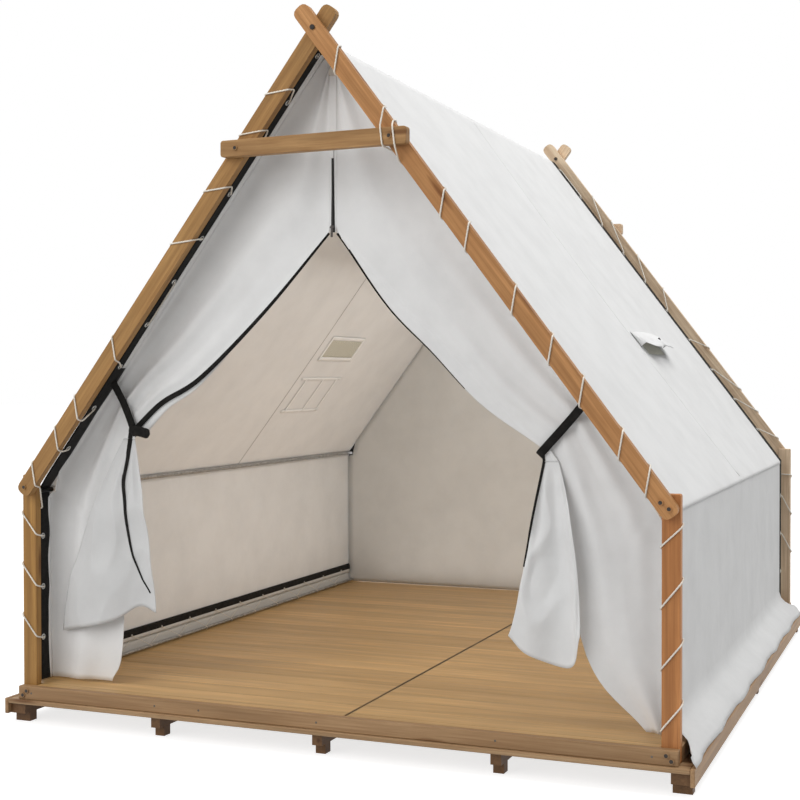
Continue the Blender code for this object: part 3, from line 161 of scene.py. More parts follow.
# How soon a flap spreads to the width of its hem, at its left and at its right edge
FLAP_SPREAD = {"left": (1.5, 1.25), "right": (0.8, 2.2)}
# Painted shade: how bright each flap's canvas is painted beside the roof's; the left flap is painted darker
FLAP_PAINTED_SHADE = {"left": 0.80, "right": 0.97}
# The zip tape down each flap: shares of its drop and of its width
FLAP_TAPE = {"left": ((0.0, 0.60), (0.10, 0.58), (0.22, 0.54), (0.36, 0.63), (0.61, 0.74),
                      (0.81, 0.85), (0.90, 0.945)),
             "right": ((0.0, 0.0), (0.2, 0.0), (0.4, 0.0), (0.6, 0.0))}
# Widths of the tape on each leaf, at the zip and at the strap, and down each flap
LEAF_TAPE_WIDTHS = {"left": (0.009, 0.026), "right": (0.010, 0.003)}
FLAP_TAPE_WIDTHS = {"left": (0.021, 0.005), "right": (0.011, 0.007)}
# The height at which the tape on each leaf ends
LEAF_TAPE_END = {"left": 1.16, "right": 1.34}
# How far forward the leaves' sewn margins reach, and by how much that varies
HEM_FRONT = {"upper": 0.092, "lower": 0.118}
HEM_WAVE = {"upper": 0.003, "lower": 0.014}

# Sizes of the roof vents
VENT_HEIGHT = 1.58
VENT_Y = 0.42
ROOF_SEAM_Y = 0.10
ROOF_SEAM_SHORT = 0.014
VENT_LENGTH = 0.12
VENT_WIDTH = 0.42
VENT_BORDER = 0.026
# Tapes of the vent's inner cover: distances below the vent, places beside its middle
COVER_DOWN = (0.16, 0.40)
COVER_Y = (-0.20, 0.03, 0.22)
COVER_TAPE = 0.020
TAPE_BELOW_ROOF = -0.0035
TAPE_STEPS = 14
HOOD_LENGTH = 0.17
HOOD_WIDTH = 0.56
HOOD_OPEN = math.radians(20)
HOOD_LAP = 0.024
HOOD_PUFF = 0.034
HOOD_PUCKER = 0.0075
HOOD_GATHERS = 6.5

# Worked out from the sizes above
RAFTER_RUN = HALF_WIDTH - 0.022
RAFTER_RISE = RIDGE_HEIGHT - EAVE_HEIGHT
RAFTER_LENGTH = math.hypot(RAFTER_RUN, RAFTER_RISE)
ROOF_ANGLE = math.atan2(RAFTER_RISE, RAFTER_RUN)
ROOF_COS = math.cos(ROOF_ANGLE)
ROOF_SIN = math.sin(ROOF_ANGLE)
RAFTER_LEAN = math.asin((TIMBER_THICK / 2 + 0.0007) / RAFTER_LENGTH)
RAFTER_SEAT = GAP + 0.08 * math.sin(RAFTER_LEAN)
TIE_HEIGHT = RIDGE_HEIGHT - TIE_DROP
CLOTH_RIDGE = RIDGE_HEIGHT - CLOTH_DROP / ROOF_COS
CLOTH_EAVE = CLOTH_RIDGE - WALL_X * math.tan(ROOF_ANGLE)
SLOPE_LENGTH = WALL_X / ROOF_COS
PANEL_HALF = HALF_DEPTH - WEBBING_START - WEBBING_WIDTH - GAP
VENT_DOWN = (CLOTH_RIDGE - VENT_HEIGHT) / ROOF_SIN

QUARTERS = (0.0, 0.25, 0.5, 0.75, 1.0)
SIDES = (("left", -1), ("right", 1))
FRAMES = (("front", False), ("rear", True))


# Settings that a user would change

class TentSizes(bpy.types.PropertyGroup):
    """Sizes of the soft parts"""
    roof_sag: bpy.props.FloatProperty(
        name="Roof sag", description="How far the roof hangs below a straight line",
        default=0.015, min=0.0, max=0.05, unit="LENGTH")
    wrinkle: bpy.props.FloatProperty(
        name="Wrinkle depth", description="Depth of the creases in taut canvas",
        default=0.0030, min=0.0, max=0.01, unit="LENGTH")
    fold: bpy.props.FloatProperty(
        name="Fold depth", description="Depth of the folds in the door leaves",
        default=0.016, min=0.0, max=0.02, unit="LENGTH")
    flap_fold: bpy.props.FloatProperty(
        name="Flap fold depth", description="Depth of the folds below the tie-backs",
        default=0.020, min=0.0, max=0.03, unit="LENGTH")


def colour_setting(name, description, default):
    return bpy.props.FloatVectorProperty(name=name, description=description, default=default,
                                         subtype="COLOR", min=0.0, max=1.0)


class TentColours(bpy.types.PropertyGroup):
    """Colours of the finishes"""
    canvas: colour_setting("Canvas", "White coated canvas", (0.80, 0.80, 0.795))
    lining: colour_setting("Inner canvas", "Canvas of the walls as seen inside", (0.665, 0.66, 0.64))
    timber: colour_setting("Timber", "Oiled pine of the frames", (0.43, 0.25, 0.105))
    floor: colour_setting("Floor boards", "Sanded boards of the deck", (0.63, 0.385, 0.155))
    webbing: colour_setting("Webbing", "Black webbing, straps and zip", (0.006, 0.0055, 0.005))
    rope: colour_setting("Rope", "Off-white laid rope", (0.93, 0.87, 0.77))
    steel: colour_setting("Steel", "Galvanised poles and eyelets", (0.50, 0.50, 0.50))


class StageSettings(bpy.types.PropertyGroup):
    """Light and ground around the tent"""
    key_power: bpy.props.FloatProperty(
        name="Key light", description="Power of the soft light at the front left",
        default=420.0, min=0.0, unit="POWER")
    top_power: bpy.props.FloatProperty(
        name="Top light", description="Power of the wide soft light overhead",
        default=930.0, min=0.0, unit="POWER")
    inner_power: bpy.props.FloatProperty(
        name="Inner light", description="Power of the light that comes through the canvas",
        default=26.0, min=0.0, unit="POWER")
    sky: bpy.props.FloatProperty(
        name="Sky", description="Strength of the light from all round", default=0.48, min=0.0)


# Shader building blocks

def new_material(name):
    material = bpy.data.materials.new(name)
    material.use_nodes = True
    return material, material.node_tree, material.node_tree.nodes["Principled BSDF"]


def add_node(tree, kind, **values):
    """A shader node; values name its settings, or its sockets with spaces as underscores."""
    made = tree.nodes.new("ShaderNode" + kind)
    for key, value in values.items():
        if hasattr(made, key):
            setattr(made, key, value)
        else:
            made.inputs[key.replace("_", " ")].default_value = value
    return made


def join(tree, value, socket):
    """Links an output to a socket, or sets the socket to a number or a colour."""
    if isinstance(value, bpy.types.NodeSocket):
        tree.links.new(value, socket)
    elif isinstance(value, tuple):
        socket.default_value = (*value, 1.0)
    else:
        socket.default_value = value


def place_texture(tree, scale=(1.0, 1.0, 1.0), turn=(0.0, 0.0, 0.0), source="Object",
                  offset=(0.0, 0.0, 0.0)):
    """Texture places along a piece's own directions; scale counts features per metre."""
    rotated = add_node(tree, "Mapping", vector_type="TEXTURE", Rotation=turn)
    tree.links.new(add_node(tree, "TexCoord").outputs[source], rotated.inputs["Vector"])
    stretched = add_node(tree, "Mapping", Scale=scale, Location=offset)
    tree.links.new(rotated.outputs["Vector"], stretched.inputs["Vector"])
    return stretched.outputs["Vector"]


def object_axes(tree):
    """How far a point is from the origin along each axis, in metres."""
    axes = add_node(tree, "SeparateXYZ")
    tree.links.new(add_node(tree, "TexCoord").outputs["Object"], axes.inputs["Vector"])
    return axes.outputs


def noise_texture(tree, vector, scale=1.0, detail=4.0, roughness=0.5, distortion=0.0):
    made = add_node(tree, "TexNoise", Scale=scale, Detail=detail, Roughness=roughness,
                    Distortion=distortion)
    tree.links.new(vector, made.inputs["Vector"])
    return made.outputs["Fac"]


def wave_texture(tree, vector, direction, scale):
    made = add_node(tree, "TexWave", bands_direction=direction, Scale=scale)
    tree.links.new(vector, made.inputs["Vector"])
    return made.outputs["Fac"]


def colour_ramp(tree, factor, stops):
    """Colours by a factor; each stop is a place and a colour."""
    ramp = add_node(tree, "ValToRGB")
    elements = ramp.color_ramp.elements
    while len(elements) < len(stops):
        elements.new(0.5)
    for element, (place, colour) in zip(elements, stops):
        element.position = place
        element.color = (*colour, 1.0)
    tree.links.new(factor, ramp.inputs["Fac"])
    return ramp.outputs["Color"]


def mix_colour(tree, factor, a, b, blend="MIX"):
    made = add_node(tree, "Mix", data_type="RGBA", blend_type=blend)
    for value, socket in ((factor, made.inputs[0]), (a, made.inputs[6]), (b, made.inputs[7])):
        join(tree, value, socket)
    return made.outputs[2]


def combine_values(tree, operation, a, b=0.0):
    made = add_node(tree, "Math", operation=operation)
    join(tree, a, made.inputs[0])
    join(tree, b, made.inputs[1])
    return made.outputs[0]


def woven(tree, vector, threads):
    """The height of threads that cross in a plain weave."""
    return combine_values(tree, "MULTIPLY", wave_texture(tree, vector, "X", threads),
                          wave_texture(tree, vector, "Y", threads))


def stain(tree, base, factor, full, clear, strength, tint):
    """Lays a tint over the base, at full strength below one factor and gone above another."""
    share = colour_ramp(tree, factor, ((full, (strength,) * 3), (clear, (0.0,) * 3)))
    return mix_colour(tree, share, base, tint)


def vary_roughness(tree, shader, factor, low, high):
    spread = add_node(tree, "MapRange", To_Min=low, To_Max=high)
    tree.links.new(factor, spread.inputs["Value"])
    tree.links.new(spread.outputs["Result"], shader.inputs["Roughness"])


def add_bump(tree, shader, layers):
    """Stacks bumps under the shader; each layer is a height, its depth and its strength."""
    below = None
    for height, depth, strength in layers:
        bump = add_node(tree, "Bump", Distance=depth, Strength=strength)
        tree.links.new(height, bump.inputs["Height"])
        if below is not None:
            tree.links.new(below.outputs["Normal"], bump.inputs["Normal"])
        below = bump
    tree.links.new(below.outputs["Normal"], shader.inputs["Normal"])


def set_shader(tree, shader, colour, bumps=(), **values):
    """Gives the shader its colour, its bumps, and values for its other sockets."""
    tree.links.new(colour, shader.inputs["Base Color"])
    for key, value in values.items():
        shader.inputs[key.replace("_", " ")].default_value = value
    if bumps:
        add_bump(tree, shader, bumps)


def shade(colour, share):
    return tuple(channel * share for channel in colour)


def tinted(colour, *shares):
    """A colour with its red, green and blue each taken by a share of its own."""
    return tuple(min(1.0, channel * share) for channel, share in zip(colour, shares))


# Finishes

def canvas_finish(name, colour, crease):
    """Coated canvas: plain weave, faint mottling, fine crushed creases."""
    material, tree, shader = new_material(name)
    metres = place_texture(tree, source="UV")
    solid = place_texture(tree)
    mottle = noise_texture(tree, solid, 5.0, 5.0, 0.6)
    tint = colour_ramp(tree, mottle, ((0.30, shade(colour, 0.93)), (0.62, colour)))
    threads = woven(tree, metres, 160.0)
    tint = mix_colour(tree, combine_values(tree, "MULTIPLY", threads, 0.10), tint,
                      shade(colour, 0.72))
    crushed = noise_texture(tree, solid, 14.0, 6.0, 0.62, 1.4)
    broad = noise_texture(tree, solid, 3.2, 3.0, 0.5, 0.6)
    bumps = ((threads, 0.0004, 0.25), (crushed, 0.006, 0.22 * crease),
             (broad, 0.020, 0.30 * crease))
    set_shader(tree, shader, tint, bumps, Roughness=0.82, Specular_IOR_Level=0.22,
               Sheen_Weight=0.12, Sheen_Roughness=0.5)
    return material


def wood_finish(name, colour, turn, seed):
    """Sawn pine with knots, whose grain runs along the piece's own X after the turn."""
    material, tree, shader = new_material(name)

    def grain(scale, offset, *look):
        return noise_texture(tree, place_texture(tree, scale, turn, offset=offset), *look)

    fine = grain((2.2, 95.0, 95.0), (seed * 3.1, seed, seed), 1.0, 7.0, 0.62, 0.4)
    bands = grain((0.8, 16.0, 16.0), (seed, 0.0, seed), 1.0, 3.0, 0.5, 1.2)
    worn = grain((0.9, 1.0, 1.0), (seed, seed * 0.7, 0.0), 3.0, 4.0, 0.6)
    dark = tinted(colour, 0.52, 0.44, 0.36)
    base = colour_ramp(tree, bands, ((0.28, shade(colour, 0.72)), (0.52, colour),
                                     (0.72, tinted(colour, 1.32, 1.36, 1.42))))
    base = stain(tree, base, fine, 0.36, 0.60, 0.55, dark)
    cells = add_node(tree, "TexVoronoi", Scale=1.0, Randomness=1.0)
    tree.links.new(place_texture(tree, (1.6, 11.0, 11.0), turn, offset=(seed, seed, seed)),
                   cells.inputs["Vector"])
    knots = combine_values(tree, "ADD", cells.outputs["Distance"],
                           combine_values(tree, "MULTIPLY", fine, 0.06))
    base = stain(tree, base, knots, 0.085, 0.19, 1.0, tinted(dark, 0.62, 0.5, 0.42))
    base = stain(tree, base, worn, 0.42, 0.66, 0.30, shade(dark, 1.25))
    vary_roughness(tree, shader, fine, 0.46, 0.66)
    set_shader(tree, shader, base, ((fine, 0.0015, 0.5), (bands, 0.002, 0.2)),
               Specular_IOR_Level=0.35)
    return material


def board_texture(tree, vector, scale, detail, roughness, distortion):
    """Grain along the boards, from places that are already moved board by board."""
    stretched = add_node(tree, "Mapping", Scale=scale)
    tree.links.new(vector, stretched.inputs["Vector"])
    return noise_texture(tree, stretched.outputs["Vector"], 1.0, detail, roughness, distortion)


def each_board(tree, along_boards):
    """A random number for each board, and texture places moved along it by that number."""
    random = add_node(tree, "TexWhiteNoise", noise_dimensions="1D")
    tree.links.new(combine_values(tree, "FLOOR", along_boards), random.inputs["W"])
    shift = add_node(tree, "CombineXYZ")
    tree.links.new(combine_values(tree, "MULTIPLY", random.outputs["Value"], 31.0),
                   shift.inputs["X"])
    moved = add_node(tree, "VectorMath", operation="ADD")
    tree.links.new(add_node(tree, "TexCoord").outputs["Object"], moved.inputs[0])
    tree.links.new(shift.outputs["Vector"], moved.inputs[1])
    return random.outputs["Value"], moved.outputs["Vector"]


def board_joints(tree, along_boards, width, number):
    """How dark the joint beside each board is; some joints are tight and some are open."""
    joint = combine_values(tree, "LESS_THAN", combine_values(tree, "FRACT", along_boards),
                           BOARD_JOINT / width)
    open_joint = colour_ramp(tree, number, ((0.45, (0.12,) * 3), (0.80, (0.85,) * 3)))
    return combine_values(tree, "MULTIPLY", joint, open_joint)


def floor_finish(name, colour, boards, seam):
    """Boards that run across the tent, each with its own tint, dark joints and a worn seam."""
    material, tree, shader = new_material(name)
    axes = object_axes(tree)
    low, width = boards
    along_boards = combine_values(tree, "DIVIDE",
                                  combine_values(tree, "SUBTRACT", axes["Y"], low), width)
    number, moved = each_board(tree, along_boards)
    fine = board_texture(tree, moved, (1.4, 60.0, 60.0), 7.0, 0.62, 0.6)
    bands = board_texture(tree, moved, (0.9, 12.0, 12.0), 3.0, 0.5, 1.6)
    base = colour_ramp(tree, bands, ((0.30, shade(colour, 0.80)), (0.50, colour),
                                     (0.74, tinted(colour, 1.22, 1.26, 1.32))))
    base = stain(tree, base, fine, 0.34, 0.62, 0.45, shade(colour, 0.55))
    tint = colour_ramp(tree, number, ((0.0, (0.84, 0.82, 0.78)), (1.0, (1.10, 1.10, 1.10))))
    base = mix_colour(tree, 1.0, base, tint, "MULTIPLY")
    base = mix_colour(tree, board_joints(tree, along_boards, width, number), base,
                      shade(colour, 0.16))
    from_seam = combine_values(tree, "ABSOLUTE", combine_values(tree, "SUBTRACT", axes["X"], seam))
    base = stain(tree, base, from_seam, 0.006, 0.010, 0.92, shade(colour, 0.10))
    spots = noise_texture(tree, place_texture(tree, (1.0, 2.2, 1.0)), 1.5, 5.0, 0.6, 0.8)
    base = stain(tree, base, spots, 0.40, 0.62, 0.35, shade(colour, 0.66))
    vary_roughness(tree, shader, fine, 0.32, 0.52)
    set_shader(tree, shader, base, ((fine, 0.0012, 0.4), (bands, 0.0015, 0.2)))
    return material


def webbing_finish(name, colour):
    """Woven webbing with ribs across its length; the sheet's own measure gives their size."""
    material, tree, shader = new_material(name)
    weave = woven(tree, place_texture(tree, source="UV"), WEBBING_RIBS)
    lint = noise_texture(tree, place_texture(tree), 40.0, 4.0, 0.7)
    base = colour_ramp(tree, lint, ((0.42, colour), (0.75, shade(colour, 3.2))))
    base = mix_colour(tree, combine_values(tree, "MULTIPLY", weave, 0.35), base,
                      shade(colour, 2.6))
    set_shader(tree, shader, base, ((weave, 0.0008, 0.6),), Roughness=0.78,
               Specular_IOR_Level=0.15, Sheen_Weight=0.04)
    return material


def rope_finish(name, colour):
    """Laid rope: its strands are in the mesh, the fibres and the grime are here."""
    material, tree, shader = new_material(name)
    solid = place_texture(tree)
    fibres = noise_texture(tree, solid, 900.0, 3.0, 0.7)
    grime = noise_texture(tree, solid, 9.0, 4.0, 0.6)
    base = colour_ramp(tree, grime, ((0.30, shade(colour, 0.80)), (0.60, colour)))
    base = stain(tree, base, fibres, 0.35, 0.6, 0.3, shade(colour, 0.62))
    set_shader(tree, shader, base, ((fibres, 0.0004, 0.5),), Roughness=0.85, Sheen_Weight=0.25)
    return material


def beyond(tree, reach):
    """One past a distance from the middle of the tent along its depth: a pole's end caps."""
    distance = combine_values(tree, "ABSOLUTE", object_axes(tree)["Y"])
    return combine_values(tree, "GREATER_THAN", distance, reach)


def steel_finish(name, colour, roughness=0.36, metallic=0.9, cap=None):
    """Galvanised steel: dull spangle and light scratches; cap is where black end caps start."""
    material, tree, shader = new_material(name)
    solid = place_texture(tree)
    spangle = add_node(tree, "TexVoronoi", Scale=70.0)
    tree.links.new(solid, spangle.inputs["Vector"])
    base = colour_ramp(tree, spangle.outputs["Color"], ((0.2, shade(colour, 0.78)),
                                                        (0.8, shade(colour, 1.1))))
    if cap is not None:
        base = mix_colour(tree, beyond(tree, cap), base, (0.008, 0.008, 0.008))
    scratch = noise_texture(tree, solid, 120.0, 4.0, 0.7)
    vary_roughness(tree, shader, scratch, roughness - 0.08, roughness + 0.14)
    set_shader(tree, shader, base, ((scratch, 0.0003, 0.3),), Metallic=metallic)
    return material


def zip_finish(name, black, white):
    """Black coil that widens down to the slider, canvas-coloured tape beside and above it."""
    material, tree, shader = new_material(name)
    axes = object_axes(tree)
    tie_foot = DECK_HEIGHT + TIE_HEIGHT - TIE_FACE / 2
    half_width = add_node(tree, "MapRange", From_Min=tie_foot,
                          From_Max=DECK_HEIGHT + ZIP_OPEN_HEIGHT, To_Min=0.0042, To_Max=0.0095)
    tree.links.new(axes["Z"], half_width.inputs["Value"])
    near = combine_values(tree, "LESS_THAN", combine_values(tree, "ABSOLUTE", axes["X"]),
                          half_width.outputs["Result"])
    below = combine_values(tree, "LESS_THAN", axes["Z"], tie_foot)
    coil = combine_values(tree, "MULTIPLY", near, below)
    teeth = wave_texture(tree, place_texture(tree), "Z", 64.0)
    set_shader(tree, shader, mix_colour(tree, coil, tuple(white), tuple(black)),
               ((teeth, 0.0008, 0.8),), Roughness=0.6)
    return material


# Mesh building blocks

def link_mesh(name, work, material, smooth=True):
    mesh = bpy.data.meshes.new(name)
    bmesh.ops.recalc_face_normals(work, faces=work.faces)
    work.to_mesh(mesh)
    work.free()
    made = bpy.data.objects.new(name, mesh)
    bpy.context.scene.collection.objects.link(made)
    made.data.materials.append(material)
    if smooth:
        mesh.shade_smooth()
    return made


def give_finish(finish, *names):
    """Lays a finish on CAD nodes in place of their own."""
    for name in names:
        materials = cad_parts[name].data.materials
        materials.clear()
        materials.append(finish)


def put_on(made, body, nodes=()):
    """Rides a piece on a body and hides the solids that it stands for."""
    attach(made, body)
    if nodes:
        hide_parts(*nodes)
    return made


def cloth(name, rows, thickness, material, holes=()):
    """A sheet from rows of points, with its measure in metres as UV and a thickness of its own.

    holes are ranges of rows and columns left open.
    """
    work = bmesh.new()
    measure = work.loops.layers.uv.new("metres")
    grid = [[work.verts.new(point) for point in row] for row in rows]
    middle = len(rows) // 2
    across = [0.0]
    for a, b in zip(rows[middle], rows[middle][1:]):
        across.append(across[-1] + (Vector(b) - Vector(a)).length)
    column = len(rows[0]) // 2
    down = [0.0]
    for row, after in zip(rows, rows[1:]):
        down.append(down[-1] + (Vector(after[column]) - Vector(row[column])).length)
    for i in range(len(rows) - 1):
        for j in range(len(rows[0]) - 1):
            if any(a <= i < b and c <= j < d for (a, b), (c, d) in holes):
                continue
            corners = ((i, j), (i, j + 1), (i + 1, j + 1), (i + 1, j))
            face = work.faces.new([grid[m][n] for m, n in corners])
            for loop, (m, n) in zip(face.loops, corners):
                loop[measure].uv = (across[n], down[m])
    loose = [v for v in work.verts if not v.link_faces]
    bmesh.ops.delete(work, geom=loose, context="VERTS")
    made = link_mesh(name, work, material)
    thicken = made.modifiers.new("cloth_thickness", "SOLIDIFY")
    thicken.thickness = thickness
    thicken.offset = 0.0
    return made


def spaced(start, end, step, marks=()):
    """Even places from start to end that also stop at every mark between them."""
    stops = sorted([start, end] + [mark for mark in marks if start < mark < end])
    places = [start]
    for a, b in zip(stops, stops[1:]):
        count = max(1, round((b - a) / step))
        places += [a + (b - a) * i / count for i in range(1, count)] + [b]
    return places


def polyline_point(points, share):
    """The point at a share of the length of a polyline."""
    lengths = [(b - a).length for a, b in zip(points, points[1:])]
    left = share * sum(lengths)
    for a, b, length in zip(points, points[1:], lengths):
        if left <= length:
            return a.lerp(b, left / length)
        left -= length
    return points[-1].copy()


def smooth_line(points, step):
    """A smooth line through points: the corners are rounded and the steps are even."""
    points = [Vector(point) for point in points]
    rounded = [points[0]]
    for before, corner, after in zip(points, points[1:], points[2:]):
        reach = min(0.42 * min((corner - before).length, (after - corner).length), 0.012)
        a = corner + (before - corner).normalized() * reach
        b = corner + (after - corner).normalized() * reach
        for i in range(5):
            t = i / 4
            rounded.append(a * (1 - t) ** 2 + corner * 2 * t * (1 - t) + b * t * t)
    rounded.append(points[-1])
    return even_line(rounded, step)


def smooth_curve(points, per_span=8):
    """A curve through every point, without corners."""
    points = [Vector(point) for point in points]
    ends = [2 * points[0] - points[1]] + points + [2 * points[-1] - points[-2]]
    curve = [points[0]]
    for a, b, c, d in zip(ends, ends[1:], ends[2:], ends[3:]):
        for i in range(1, per_span + 1):
            t = i / per_span
            curve.append(0.5 * (2 * b + (c - a) * t + (2 * a - 5 * b + 4 * c - d) * t ** 2
                                + (3 * b - a - 3 * c + d) * t ** 3))
    return curve


def even_line(points, step):
    """The same line in even steps."""
    lengths = [(b - a).length for a, b in zip(points, points[1:])]
    count = max(2, round(sum(lengths) / step))
    places, done, index = [], 0.0, 0
    for i in range(count + 1):
        wanted = sum(lengths) * i / count
        while index < len(lengths) - 1 and done + lengths[index] < wanted:
            done += lengths[index]
            index += 1
        share = (wanted - done) / max(lengths[index], 1e-9)
        places.append(points[index].lerp(points[index + 1], min(1.0, share)))
    return places


def direction(line, i):
    """The way a line runs at one of its points."""
    return (line[min(i + 1, len(line) - 1)] - line[max(i - 1, 0)]).normalized()


def skin_rings(work, rings):
    """Faces from each ring of points to the next, and a cap on both ends."""
    for ring, after in zip(rings, rings[1:]):
        for k in range(len(ring)):
            m = (k + 1) % len(ring)
            work.faces.new((ring[k], ring[m], after[m], after[k]))
    work.faces.new(rings[0][::-1])
    work.faces.new(rings[-1])


def circle(count):
    """Even places round a circle of radius one."""
    angles = [2 * math.pi * k / count for k in range(count)]
    return [(math.cos(angle), math.sin(angle)) for angle in angles]


def facing(place, outward):
    """A place whose own Z points outward."""
    turn = Vector(outward).normalized().to_track_quat("Z", "Y")
    return Matrix.Translation(place) @ turn.to_matrix().to_4x4()


def laid_rope(name, points, radius, material, step=0.006, strands=3, sides=9):
    """A rope whose strands twist round its line; both ends are closed."""
    line = smooth_line(points, step)
    work = bmesh.new()
    side = Vector((0.3, 0.2, 0.93))
    rings, done = [], 0.0
    for i, place in enumerate(line):
        along = direction(line, i)
        side = (side - along * side.dot(along)).normalized()
        other = along.cross(side)
        twist = 2 * math.pi * done / (ROPE_LAY * radius)
        ring = []
        for k in range(sides):
            angle = 2 * math.pi * k / sides
            reach = radius * (0.90 + 0.10 * math.cos(strands * angle))
            turned = angle + twist
            ring.append(work.verts.new(place + (side * math.cos(turned)
                                                + other * math.sin(turned)) * reach))
        rings.append(ring)
        if i + 1 < len(line):
            done += (line[i + 1] - place).length
    skin_rings(work, rings)
    return link_mesh(name, work, material)


def wavy(place, size, seed=0.0):
    """A smooth random height at a place, from minus one to one; size is its wavelength."""
    return noise.noise(Vector(place) / size + Vector((seed, seed * 1.7, seed * 0.3)))


def limited(value):
    """A value kept between zero and one."""
    return max(0.0, min(1.0, value))


def creased(place, size, seed=0.0):
    """Sharp-edged random creases, from zero to one."""
    return 1.0 - min(1.0, 2.2 * abs(wavy(place, size, seed)))


# Places of the timber, as the CAD source gives them

def frame_matrix(rear):
    """A frame's own Y points into the tent from its posts' outer faces, its Z up from the deck."""
    if rear:
        return Matrix.Translation((0, HALF_DEPTH, DECK_HEIGHT)) @ Matrix.Rotation(math.pi, 4, "Z")
    return Matrix.Translation((0, -HALF_DEPTH, DECK_HEIGHT))


def frame_side_name(rear, side):
    return "right" if (-side if rear else side) > 0 else "left"


def rafter_matrix(side):
    """Own X runs up the rafter, own Y points into the tent, own Z outward."""
    lean = -RAFTER_LEAN * side
    along = Vector((-side * ROOF_COS * math.cos(lean), math.sin(lean), ROOF_SIN * math.cos(lean)))
    inward = Vector((-side * ROOF_SIN, 0.0, -ROOF_COS))
    outward = (along.cross(inward) * side).normalized()
    turn = Matrix((along, inward, outward)).transposed().to_4x4()
    return Matrix.Translation((side * RAFTER_RUN, -TIMBER_THICK / 2 - RAFTER_SEAT, EAVE_HEIGHT)) @ turn


def post_matrix(side):
    turn = Matrix(((0, 0, 1), (-side, 0, 0), (0, -1, 0))).transposed().to_4x4()
    return Matrix.Translation((side * (HALF_WIDTH - TIMBER_FACE / 2), TIMBER_THICK / 2, 0.0)) @ turn


def tie_bolt_x():
    return TIE_DROP / math.tan(ROOF_ANGLE)


def tie_matrix():
    up_rafter = (TIE_HEIGHT - EAVE_HEIGHT) / ROOF_SIN
    step = 2 * up_rafter * math.sin(RAFTER_LEAN)
    turn = math.atan2(step, 2 * tie_bolt_x())
    wedge = TIMBER_FACE * math.sin(turn) + TIE_FACE * math.sin(RAFTER_LEAN)
    forward = 3 * TIMBER_THICK / 2 + RAFTER_SEAT + wedge + GAP
    place = Matrix.Translation((0, -forward, TIE_HEIGHT))
    return place @ Matrix.Rotation(-turn, 4, "Z") @ Matrix.Rotation(math.pi / 2, 4, "X")


def roof_normal(side):
    return Vector((side * ROOF_SIN, 0, ROOF_COS))


def deck_place(side, x, y, height):
    """A point on one side of the tent, at a height above the deck."""
    return Vector((side * x, y, DECK_HEIGHT + height))


def upright(points):
    """Points in the plane across the tent, from places across and heights."""
    return [Vector((x, 0.0, z)) for x, z in points]


def front_place(x, y, height):
    return Vector((x, y - HALF_DEPTH, DECK_HEIGHT + height))


def post_eyelet_places(side):
    heights = [POST_EYELET_HEIGHT + i * LACE_PITCH for i in range(POST_EYELETS)]
    return [(Vector((side * WALL_X, EYELET_Y, z)), Vector((side, 0, 0))) for z in heights]


def rafter_eyelet_places(side):
    outward = roof_normal(side)
    places = []
    for i in range(RAFTER_EYELETS):
        up = RAFTER_EYELET_START + i * LACE_PITCH
        x = RAFTER_RUN - up * ROOF_COS - CLOTH_DROP * ROOF_SIN
        z = EAVE_HEIGHT + up * ROOF_SIN - CLOTH_DROP * ROOF_COS
        places.append((Vector((side * x, EYELET_Y, z)), outward))
    return places


# Timber and deck

# Turns that lay the grain along a board which runs across, up or along the tent
ACROSS = (0.0, 0.0, 0.0)
UPRIGHT = (0.0, math.radians(-90), 0.0)
ALONG = (0.0, 0.0, math.radians(90))


def frame_boards(colour, rim):
    """Tint, turn and seed of each board of the two frames and of the rims below them."""
    ochre = tinted(colour, 0.90, 0.84, 0.60)
    orange = tinted(colour, 1.24, 0.94, 0.80)
    # Painted light: the rear frame's posts, rafters and tie are painted much paler, as if in bright light
    rear_painted_light = tinted(colour, 1.85, 2.45, 4.10)
    boards = {}
    for seed, (frame_name, rear) in enumerate(FRAMES):
        for side in (-1, 1):
            name = frame_side_name(rear, side)
            slope = -ROOF_ANGLE if side < 0 else math.pi + ROOF_ANGLE
            turn = (0.0, -slope if rear else slope, 0.0)
            warm = orange if name == "right" else ochre
            post = rear_painted_light if rear else warm
            rafter = rear_painted_light if rear else tuple((a + b) / 2 for a, b in zip(colour, warm))
            boards[f"{frame_name}_{name}_rafter"] = (rafter, turn, seed + 2.0 * side)
            boards[f"{frame_name}_{name}_post"] = (post, UPRIGHT, seed + 4.0 * side)
        tie = rear_painted_light if rear else shade(colour, 0.94)
        boards[f"{frame_name}_collar_tie"] = (tie, ACROSS, seed + 9.0)
        boards[f"{frame_name}_rim"] = (rim, ACROSS, seed + 12.0)
        boards[f"{frame_name}_sole"] = (tinted(colour, 0.94, 1.05, 1.35), ACROSS, seed + 15.0)
    return boards


def deck_boards(colour, rim):
    """Tint, turn and seed of the boards at the sides of the deck and below it."""
    dark = tinted(colour, 0.50, 0.46, 0.48)
    boards = {}
    for name, side in SIDES:
        boards[f"{name}_rim"] = (rim, ALONG, side + 18.0)
        boards[f"{name}_fascia"] = (rim, ALONG, side + 21.0)
    for i, name in enumerate(("far_left", "left", "middle", "right", "far_right")):
        boards[f"bearer_{name}"] = (shade(dark, 0.8), ALONG, i + 24.0)
    return boards


def finish_timber(colours):
    """Gives every board its own cut of wood."""
    colour = tuple(colours.timber)
    rim = tinted(colour, 0.92, 0.99, 1.22)
    for name, (tint, turn, seed) in {**frame_boards(colour, rim), **deck_boards(colour, rim)}.items():
        give_finish(wood_finish(f"pine_{name}", tint, turn, seed * 1.37), name)


def finish_floor(colours):
    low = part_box("floor_panel_left")[0].y
    width = (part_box("floor_panel_left")[1].y - low) / FLOOR_BOARDS
    seam = (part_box("floor_panel_left")[1].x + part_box("floor_panel_right")[0].x) / 2
    finish = floor_finish("sanded_boards", colours.floor, (low, width), seam)
    give_finish(finish, "floor_panel_left", "floor_panel_right")
    add_end_boards(finish)


